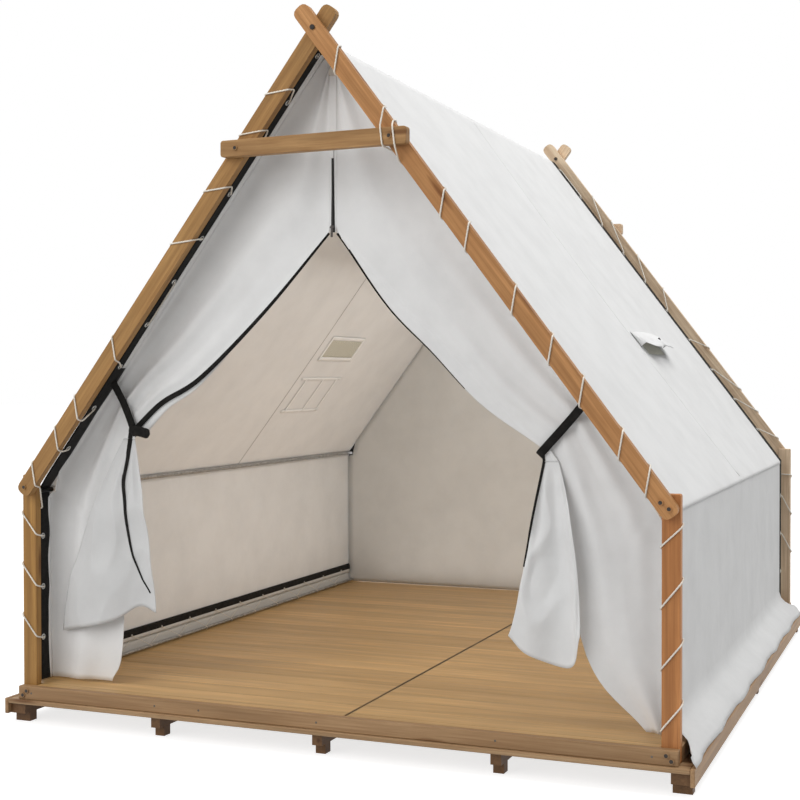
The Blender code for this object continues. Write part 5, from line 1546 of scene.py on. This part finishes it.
def leaf_height(name, side, part, share, v, place, depth):
    """How far the leaf stands in or out: broad folds above, a few gathers at the strap."""
    drawn = math.cos(math.pi / 2 * (1.0 - share if part == 0 else 0.8 * share))
    pinned = math.sin(math.pi * v) ** 0.6
    seed = 11.0 * side
    warp = 0.10 * wavy((place.x * 0.5, 0, place.z * 0.5), 0.5, seed)
    broad = fold_wave(2 * math.pi * (1.4 * v + warp + 0.12 * share) + 1.2)
    gathers = fold_wave(2 * math.pi * (2.7 * v + 1.6 * warp) + side)
    near_strap = drawn ** 4
    height = depth * (0.70 * gathers * near_strap + 0.62 * broad * (1.0 - 0.7 * near_strap))
    height += 0.18 * depth * wavy((place.x * 2.0, 0, place.z), 0.45, seed + 3)
    height += 0.10 * depth * (creased((place.x * 1.2, 0, place.z * 2.0), 0.5, seed) - 0.4)
    curl = LEAF_CURL * math.exp(-v / 0.035) * min(1.0, 6.0 * share if part == 0 else 6.0 * (1.0 - share))
    turned = turned_back(name, side, place) if side > 0 and part == 0 else 0.0
    height = height * pinned * (1.0 - 0.8 * turned) + 0.010 * turned - curl
    return max(-LEAF_ROOM, min(LEAF_ROOM, height))


def turned_back(name, side, place):
    """One on the strip of the leaf outside the straight fold from the zip to the strap."""
    start = Vector((side * (ZIP_TAPE_HALF + GAP), 0.0, ZIP_OPEN_HEIGHT))
    fold = Vector((TIE_BACK[name][0], 0.0, TIE_BACK[name][1])) - start
    outward = Vector((-fold.z, 0.0, fold.x)).normalized()
    if outward.x * side > 0:
        outward = -outward
    return limited((place - start).dot(outward) / 0.012)


def leaf_rows(name, side, depth):
    across = 72
    flap_top = flap_axis(name, side)
    rows = []
    for part, (outer, inner) in enumerate(zip(leaf_outer_lines(name, side),
                                              leaf_inner_lines(name, side))):
        outer, inner = upright(outer), upright(inner)
        lengths = [(b - a).length for a, b in zip(outer, outer[1:])]
        marks = [sum(lengths[:i]) / sum(lengths) for i in range(1, len(lengths))]
        for share in spaced(0.0, 1.0, 0.028 / sum(lengths), marks)[part:]:
            a, b = polyline_point(outer, share), polyline_point(inner, share)
            row = []
            for j in range(across + 1):
                v = j / across
                place = a.lerp(b, v)
                flat = front_place(place.x, FRONT_CLOTH_Y, place.z)
                calm = min(1.0, ((flat - flap_top).length / 0.16) ** 2)
                height = leaf_height(name, side, part, share, v, place, depth) * calm
                row.append(front_place(place.x, FRONT_CLOTH_Y + height, place.z))
            rows.append(row)
    return rows


def edge_tape(name, line, widths, finish, body="tent"):
    return put_on(tape_mesh(name, line, widths, finish), body)


def tape_mesh(name, line, widths, finish):
    """Black tape bound over an edge or sewn on the cloth; its width changes evenly."""
    rows = []
    for i, place in enumerate(line):
        along = direction(line, i)
        across = along.cross(Vector((0, -1, 0))).normalized()
        width = widths[0] + (widths[1] - widths[0]) * i / (len(line) - 1)
        rows.append([place + across * width * (s - 0.5) for s in QUARTERS])
    return cloth(name, rows, TAPE, finish)


def leaf_hems(name, side, finish):
    """The leaf's sewn margin, turned forward along the inside of the edge band."""
    pieces = []
    for part, line in zip(("upper", "lower"), leaf_outer_lines(name, side)):
        route = even_line(upright(line), 0.03)
        route = route[:-2] if part == "upper" else route[2:]
        front = [HEM_FRONT[part] + HEM_WAVE[part] * wavy((p.x, 0, p.z), 0.12, side) for p in route]
        rows = [[front_place(p.x, y + (FRONT_CLOTH_Y - LEAF_CURL / 2 - y) * s, p.z)
                 for p, y in zip(route, front)] for s in (0.0, 0.33, 0.67, 1.0)]
        made = cloth(f"leaf_hem_{part}_{name}", rows, 0.0013, finish)
        pieces.append(put_on(made, "tent"))
    return pieces


def leaf_underlap(edge, finish):
    """The thin strip behind the left zip edge, seen below it where the leaf is drawn aside."""
    line = even_line(edge, 0.02)
    rows = []
    for i, place in enumerate(line):
        s = i / (len(line) - 1)
        along = direction(line, i)
        below = along.cross(Vector((0, 1, 0))).normalized()
        below = below if below.z < 0 else -below
        width = 0.001 + 0.050 * s ** 0.85
        rows.append([place + below * width * t + Vector((0, 0.005 + 0.008 * t * t, 0))
                     for t in QUARTERS])
    return put_on(cloth("leaf_underlap_left", rows, 0.0012, finish), "tent")


def neck_rows(name, side):
    """Gathered cloth from under the strap to the top of the flap."""
    axis = flap_axis(name, side)
    x, height = TIE_BACK[name]
    top = front_place(x + side * 0.012, 0.127, height + 0.004)
    rows = []
    for i in range(11):
        w = i / 10
        row = []
        for j in range(25):
            v = j / 24
            wide = 0.020 + (BUNCH - 0.020) * w ** 0.7
            fold = 0.0032 * math.sin(2 * math.pi * 2.5 * v + side) * math.sin(math.pi * v) * (1 - w)
            row.append(Vector((top.x + (axis.x - top.x) * w + wide * (v - 0.5),
                               top.y + (axis.y - 0.002 - top.y) * w - fold,
                               top.z + (axis.z + 0.0005 - top.z) * w)))
        rows.append(row)
    return rows


def add_neck(name, side, finish, tape):
    """The neck above the flap and the tape on it."""
    rows = neck_rows(name, side)
    made = cloth(f"leaf_neck_{name}", rows, CLOTH, finish)
    column = round(FLAP_TAPE[name][0][1] * (len(rows[0]) - 1))
    line = [row[column] + Vector((0, -0.0022, 0)) for row in rows]
    width = FLAP_TAPE_WIDTHS[name][0]
    bound = tape_mesh(f"neck_tape_{name}", line, (width, width), tape)
    for piece, slot in ((made, "canvas"), (bound, "webbing")):
        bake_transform(piece)
    return [made, bound]


def add_leaves(sizes, colours):
    finish = canvas_finish("leaf_canvas", colours.canvas, 0.35)
    tape = webbing_finish("zip_tape", colours.webbing)
    for name, side in SIDES:
        rows = leaf_rows(name, side, sizes.fold)
        made = cloth(f"door_leaf_canvas_{name}", rows, CLOTH, finish)
        put_on(made, "tent", [f"door_leaf_{name}"])
        edge = [row[-1] for row in rows
                if DECK_HEIGHT + TIE_BACK[name][1] - 0.01 < row[-1].z < DECK_HEIGHT + ZIP_OPEN_HEIGHT]
        taped = [place for place in edge if place.z > DECK_HEIGHT + LEAF_TAPE_END[name]]
        pieces = [edge_tape(f"leaf_edge_tape_{name}", even_line(taped, 0.02), LEAF_TAPE_WIDTHS[name], tape)]
        pieces += leaf_hems(name, side, finish) + add_neck(name, side, finish, tape)
        if side < 0:
            pieces.append(leaf_underlap(edge[len(edge) // 2:], finish))


def flap_point(name, side, w, v, depth, above=0.0):
    """A point of the loose flap, w down from the tie-back and v across from left to right."""
    axis = flap_axis(name, side)
    hem = smooth_curve(upright(FLAP_HEM[name]))
    end = polyline_point(hem, v)
    top_x = axis.x + BUNCH * (v - 0.5)
    first, last = FLAP_SPREAD[name]
    x = top_x + (end.x - top_x) * (1.0 - (1.0 - w) ** (first + (last - first) * v))
    z = axis.z + (DECK_HEIGHT + end.z - axis.z) * w
    seed = 7.0 * side
    warp = 0.22 * wavy((v * 0.6, w * 1.4, side), 0.8, seed)
    fold = 0.60 * fold_wave(2 * math.pi * (1.25 * v + warp + 0.10 * w) + 0.9 * side + 0.6)
    fold += 0.30 * fold_wave(2 * math.pi * (2.8 * v + 1.5 * warp) + 2.0) * math.exp(-w / 0.25)
    fold += 0.85 * (creased((v * 0.7 + 0.5 * w, w * 0.9 - 0.4 * v, side), 0.36, seed) - 0.35)
    fold += 0.30 * wavy((x * 2.0, w, z), 0.25, seed + 2.0) * w
    bulge = 0.030 * min(1.0, 2.5 * w)
    out = min(FLAP_ROOM[1], max(FLAP_ROOM[0], bulge + depth * fold * min(1.0, 3.0 * w)))
    return Vector((x, axis.y - out - above, z))


def flap_rows(name, side, depth):
    """The loose part of a leaf hangs from the tie-back to its uneven hem."""
    down, across = 48, 60
    return [[flap_point(name, side, i / down, j / across, depth) for j in range(across + 1)]
            for i in range(down + 1)]


def flap_tape_line(name, side, depth):
    """The zip tape where it comes to lie on the flap."""
    curve = smooth_curve([Vector((w, v, 0.0)) for w, v in FLAP_TAPE[name]], 10)
    return even_line([flap_point(name, side, max(0.0, p.x), max(0.0, p.y), depth, 0.0022)
                      for p in curve], 0.012)


def add_flaps(sizes, colours):
    tape = webbing_finish("flap_zip_tape", colours.webbing)
    for name, side in SIDES:
        # Painted shade: each flap's canvas is the roof's canvas painted darker, the left flap most
        finish = canvas_finish(f"flap_canvas_{name}", shade(colours.canvas, FLAP_PAINTED_SHADE[name]), 0.6)
        rows = flap_rows(name, side, sizes.flap_fold)
        made = cloth(f"door_flap_canvas_{name}", rows, CLOTH, finish)
        body = f"door_flap_{name}_body"
        put_on(made, body, [f"door_flap_{name}"])
        bound = edge_tape(f"flap_edge_tape_{name}", flap_tape_line(name, side, sizes.flap_fold),
                          FLAP_TAPE_WIDTHS[name], tape, body)


def strap_line(name):
    """In front of the leaf, round its drawn-together edge and back behind it."""
    start = front_place(STRAP_ANCHOR[name][0], FRONT_CLOTH_Y, STRAP_ANCHOR[name][1])
    end = front_place(TIE_BACK[name][0], FRONT_CLOTH_Y, TIE_BACK[name][1])
    along = (end - start).normalized()
    length = (end - start).length + STRAP_PAST_EDGE
    deep = STRAP_HALF_DEEP - 0.0015
    route = [(-0.032, 0.088 - FRONT_CLOTH_Y), (0.3 * length, -deep * 1.3), (0.6 * length, -deep)]
    for step in range(9):
        angle = math.radians(-90 + 22.5 * step)
        route.append((length + deep * math.cos(angle), deep * math.sin(angle)))
    route.append((-0.03, deep))
    line = [start + along * x + Vector((0, y, 0)) for x, y in route]
    return line, along


def add_strap_tail(finish):
    """The rolled end of the left strap sticks out past the leaf's edge."""
    x, height = TIE_BACK["left"]
    start = front_place(x - 0.010, 0.106, height + 0.002)
    reach = Vector((0.106, 0.0, -0.024))
    up = Vector((0.22, 0.0, 0.97))
    work = bmesh.new()
    rings = []
    for i in range(17):
        s = i / 16
        rounded = math.sqrt(max(0.0, 1.0 - max(0.0, (s - 0.80) / 0.2) ** 2.4))
        tall = (0.015 + 0.008 * min(1.0, s / 0.35)) * max(0.08, rounded)
        deep = 0.0062 * max(0.15, rounded)
        ring = []
        for x, y in circle(16):
            lift = math.copysign(abs(y) ** 0.7, y)
            side = math.copysign(abs(x) ** 0.7, x)
            ring.append(work.verts.new(start + reach * s + up * tall * lift
                                       + Vector((0, deep * side, 0))))
        rings.append(ring)
    skin_rings(work, rings)
    return put_on(link_mesh("tie_back_tail_left", work, finish), "tent")


def add_straps(colours):
    finish = webbing_finish("strap_webbing", colours.webbing)
    for name, side in SIDES:
        line, along = strap_line(name)
        route = even_line(line, 0.008)
        across = along.cross(Vector((0, 1, 0))).normalized()
        rows = [[place + across * STRAP_WIDTH * (s - 0.5) for s in QUARTERS]
                for place in route]
        made = cloth(f"tie_back_band_{name}", rows, 0.0026, finish)
        put_on(made, "tent", [f"tie_back_strap_{name}"])
        tail = [add_strap_tail(finish)] if side < 0 else []


def finish_zip(colours):
    give_finish(zip_finish("zip_tape_and_coil", colours.webbing, colours.canvas), "zip_coil")
    give_finish(steel_finish("zip_metal", (0.10, 0.09, 0.085), 0.35), "zip_slider", "zip_pull")


# Stage: camera, lights and ground

CAMERA_PLACE = (2.4709, -7.0190, 1.5661)
CAMERA_YAW = -0.38534
CAMERA_PITCH = -0.01542
CAMERA_ROLL = -0.00114
CAMERA_LENS = 62.17


def add_camera():
    forward = Vector((math.sin(CAMERA_YAW) * math.cos(CAMERA_PITCH),
                      math.cos(CAMERA_YAW) * math.cos(CAMERA_PITCH), math.sin(CAMERA_PITCH)))
    level = Vector((math.cos(CAMERA_YAW), -math.sin(CAMERA_YAW), 0.0))
    upright = level.cross(forward)
    right = level * math.cos(CAMERA_ROLL) + upright * math.sin(CAMERA_ROLL)
    up = upright * math.cos(CAMERA_ROLL) - level * math.sin(CAMERA_ROLL)
    turn = Matrix((right, up, -forward)).transposed().to_4x4()
    data = bpy.data.cameras.new("photo_camera")
    data.lens = CAMERA_LENS
    data.sensor_width = 36.0
    made = bpy.data.objects.new("photo_camera", data)
    made.matrix_world = Matrix.Translation(CAMERA_PLACE) @ turn
    bpy.context.scene.collection.objects.link(made)
    bpy.context.scene.camera = made


def add_area_light(name, place, target, size, power, colour=(1.0, 1.0, 1.0)):
    data = bpy.data.lights.new(name, "AREA")
    data.shape = "RECTANGLE"
    data.size, data.size_y = size
    data.energy = power
    data.color = colour
    made = bpy.data.objects.new(name, data)
    made.location = place
    aim = Vector(target) - Vector(place)
    made.rotation_mode = "QUATERNION"
    made.rotation_quaternion = aim.to_track_quat("-Z", "Y")
    made.visible_camera = False
    made.visible_glossy = False
    bpy.context.scene.collection.objects.link(made)


def white_for_camera(tree, strength):
    """One where the camera, a mirror or glass looks, else the strength of the light."""
    path = add_node(tree, "LightPath")
    seen = combine_values(tree, "MAXIMUM", path.outputs["Is Camera Ray"],
                          combine_values(tree, "MAXIMUM", path.outputs["Is Glossy Ray"],
                                         path.outputs["Is Transmission Ray"]))
    spare = combine_values(tree, "MULTIPLY", seen, 1.0 - strength)
    return combine_values(tree, "ADD", spare, strength)


def add_world(sky):
    world = bpy.data.worlds.new("pale_sky")
    bpy.context.scene.world = world
    world.use_nodes = True
    tree = world.node_tree
    background = tree.nodes["Background"]
    background.inputs["Color"].default_value = (1.0, 1.0, 1.0, 1.0)
    tree.links.new(white_for_camera(tree, sky), background.inputs["Strength"])


def add_ground():
    material, tree, shader = new_material("pale_ground")
    shader.inputs["Base Color"].default_value = (0.50, 0.50, 0.50, 1.0)
    shader.inputs["Roughness"].default_value = 0.9
    shader.inputs["Emission Color"].default_value = (1.0, 1.0, 1.0, 1.0)
    path = add_node(tree, "LightPath")
    seen = combine_values(tree, "MAXIMUM", path.outputs["Is Camera Ray"],
                          path.outputs["Is Glossy Ray"])
    lift = combine_values(tree, "MULTIPLY", seen, 0.75)
    tree.links.new(lift, shader.inputs["Emission Strength"])
    work = bmesh.new()
    bmesh.ops.create_grid(work, x_segments=4, y_segments=4, size=60.0)
    ground = link_mesh("ground", work, material, smooth=False)
    ground.location.z = -0.0005


def add_stage(stage):
    scene = bpy.context.scene
    scene.view_settings.view_transform = "Standard"
    add_camera()
    add_world(stage.sky)
    add_area_light("key", (-4.0, -8.5, 5.5), (0, 0, 1.0), (7.0, 7.0), stage.key_power)
    add_area_light("top", (3.2, 0.5, 12.0), (0.5, 0.3, 1.0), (10.0, 10.0), stage.top_power)
    warm = (1.0, 0.97, 0.93)
    add_area_light("inside_low", (0.0, 0.1, 0.19), (0.0, 0.1, 2.0), (2.4, 3.0),
                   stage.inner_power * 0.54, warm)
    add_area_light("inside_high", (0.0, 0.1, 2.2), (0.0, 0.1, 0.2), (0.5, 2.6),
                   stage.inner_power * 0.46, warm)
    add_ground()


# Operators, one for each group of pieces

class TENT_OT_stage(bpy.types.Operator):
    """Adds the camera, the lights and the ground"""
    bl_idname = "tent.stage"
    bl_label = "Stage"
    bl_options = {"REGISTER", "UNDO"}

    def execute(self, context):
        add_stage(context.scene.tent_stage)
        return {"FINISHED"}


class TENT_OT_timber(bpy.types.Operator):
    """Finishes the boards of the frames and of the deck"""
    bl_idname = "tent.timber"
    bl_label = "Timber"
    bl_options = {"REGISTER", "UNDO"}

    def execute(self, context):
        finish_timber(context.scene.tent_colours)
        finish_floor(context.scene.tent_colours)
        return {"FINISHED"}


class TENT_OT_fastenings(bpy.types.Operator):
    """Adds bolt heads and screws, and finishes the steel poles"""
    bl_idname = "tent.fastenings"
    bl_label = "Fastenings and steel"
    bl_options = {"REGISTER", "UNDO"}

    def execute(self, context):
        add_bolts()
        add_rim_screws()
        finish_steel(context.scene.tent_colours)
        return {"FINISHED"}


class TENT_OT_roofs(bpy.types.Operator):
    """Builds the two roof sheets with their seams and vents"""
    bl_idname = "tent.roofs"
    bl_label = "Roofs"
    bl_options = {"REGISTER", "UNDO"}

    def execute(self, context):
        add_roofs(context.scene.tent_sizes, context.scene.tent_colours)
        return {"FINISHED"}


class TENT_OT_vent_hoods(bpy.types.Operator):
    """Builds the puffed hoods over the vents"""
    bl_idname = "tent.vent_hoods"
    bl_label = "Vent hoods"
    bl_options = {"REGISTER", "UNDO"}

    def execute(self, context):
        add_vent_hoods(context.scene.tent_sizes, context.scene.tent_colours)
        return {"FINISHED"}


class TENT_OT_side_walls(bpy.types.Operator):
    """Builds the side walls with their skirts"""
    bl_idname = "tent.side_walls"
    bl_label = "Side walls"
    bl_options = {"REGISTER", "UNDO"}

    def execute(self, context):
        add_side_walls(context.scene.tent_sizes, context.scene.tent_colours)
        return {"FINISHED"}


class TENT_OT_rear_wall(bpy.types.Operator):
    """Builds the rear gable sheet"""
    bl_idname = "tent.rear_wall"
    bl_label = "Rear wall"
    bl_options = {"REGISTER", "UNDO"}

    def execute(self, context):
        add_rear_wall(context.scene.tent_sizes, context.scene.tent_colours)
        return {"FINISHED"}


class TENT_OT_edge_webbing(bpy.types.Operator):
    """Builds the black edge bands and their eyelets"""
    bl_idname = "tent.edge_webbing"
    bl_label = "Edge webbing"
    bl_options = {"REGISTER", "UNDO"}

    def execute(self, context):
        add_edge_webbing(context.scene.tent_colours)
        return {"FINISHED"}


class TENT_OT_laces(bpy.types.Operator):
    """Winds the four ropes round the frames"""
    bl_idname = "tent.laces"
    bl_label = "Laces"
    bl_options = {"REGISTER", "UNDO"}

    def execute(self, context):
        add_laces(context.scene.tent_colours)
        return {"FINISHED"}


class TENT_OT_floor_lacing(bpy.types.Operator):
    """Builds the strips and cords along the floor rails"""
    bl_idname = "tent.floor_lacing"
    bl_label = "Floor lacing"
    bl_options = {"REGISTER", "UNDO"}

    def execute(self, context):
        add_floor_strips(context.scene.tent_colours)
        return {"FINISHED"}


class TENT_OT_door_leaves(bpy.types.Operator):
    """Builds the two door leaves and the tape on their edges"""
    bl_idname = "tent.door_leaves"
    bl_label = "Door leaves"
    bl_options = {"REGISTER", "UNDO"}

    def execute(self, context):
        add_leaves(context.scene.tent_sizes, context.scene.tent_colours)
        return {"FINISHED"}


class TENT_OT_door_flaps(bpy.types.Operator):
    """Builds the loose flaps below the tie-backs"""
    bl_idname = "tent.door_flaps"
    bl_label = "Door flaps"
    bl_options = {"REGISTER", "UNDO"}

    def execute(self, context):
        add_flaps(context.scene.tent_sizes, context.scene.tent_colours)
        return {"FINISHED"}


class TENT_OT_straps(bpy.types.Operator):
    """Builds the tie-back straps"""
    bl_idname = "tent.straps"
    bl_label = "Tie-back straps"
    bl_options = {"REGISTER", "UNDO"}

    def execute(self, context):
        add_straps(context.scene.tent_colours)
        return {"FINISHED"}


class TENT_OT_zip(bpy.types.Operator):
    """Finishes the zip, its slider and its pull"""
    bl_idname = "tent.zip"
    bl_label = "Zip"
    bl_options = {"REGISTER", "UNDO"}

    def execute(self, context):
        finish_zip(context.scene.tent_colours)
        return {"FINISHED"}


OPERATORS = (TENT_OT_stage, TENT_OT_timber, TENT_OT_fastenings, TENT_OT_roofs,
             TENT_OT_vent_hoods, TENT_OT_side_walls, TENT_OT_rear_wall, TENT_OT_edge_webbing,
             TENT_OT_laces, TENT_OT_floor_lacing, TENT_OT_straps, TENT_OT_door_leaves,
             TENT_OT_door_flaps, TENT_OT_zip)
GROUPS = (("tent_sizes", TentSizes), ("tent_colours", TentColours), ("tent_stage", StageSettings))


class TENT_PT_panel(bpy.types.Panel):
    """Lists the tent's settings and its building steps"""
    bl_idname = "TENT_PT_panel"
    bl_label = "A-frame glamping tent"
    bl_space_type = "VIEW_3D"
    bl_region_type = "UI"
    bl_category = "Tent"

    def draw(self, context):
        for group_name, group in GROUPS:
            box = self.layout.box()
            for setting in group.__annotations__:
                box.prop(getattr(context.scene, group_name), setting)
        for operator in OPERATORS:
            self.layout.operator(operator.bl_idname)


def register():
    for group_name, group in GROUPS:
        bpy.utils.register_class(group)
        setattr(bpy.types.Scene, group_name, bpy.props.PointerProperty(type=group))
    for kind in OPERATORS + (TENT_PT_panel,):
        bpy.utils.register_class(kind)


def unregister():
    for kind in (TENT_PT_panel,) + OPERATORS[::-1]:
        bpy.utils.unregister_class(kind)
    for group_name, group in GROUPS[::-1]:
        delattr(bpy.types.Scene, group_name)
        bpy.utils.unregister_class(group)


def main():
    register()
    for operator in OPERATORS:
        group, step = operator.bl_idname.split(".")
        getattr(getattr(bpy.ops, group), step)()


if __name__ == "__main__":
    main()
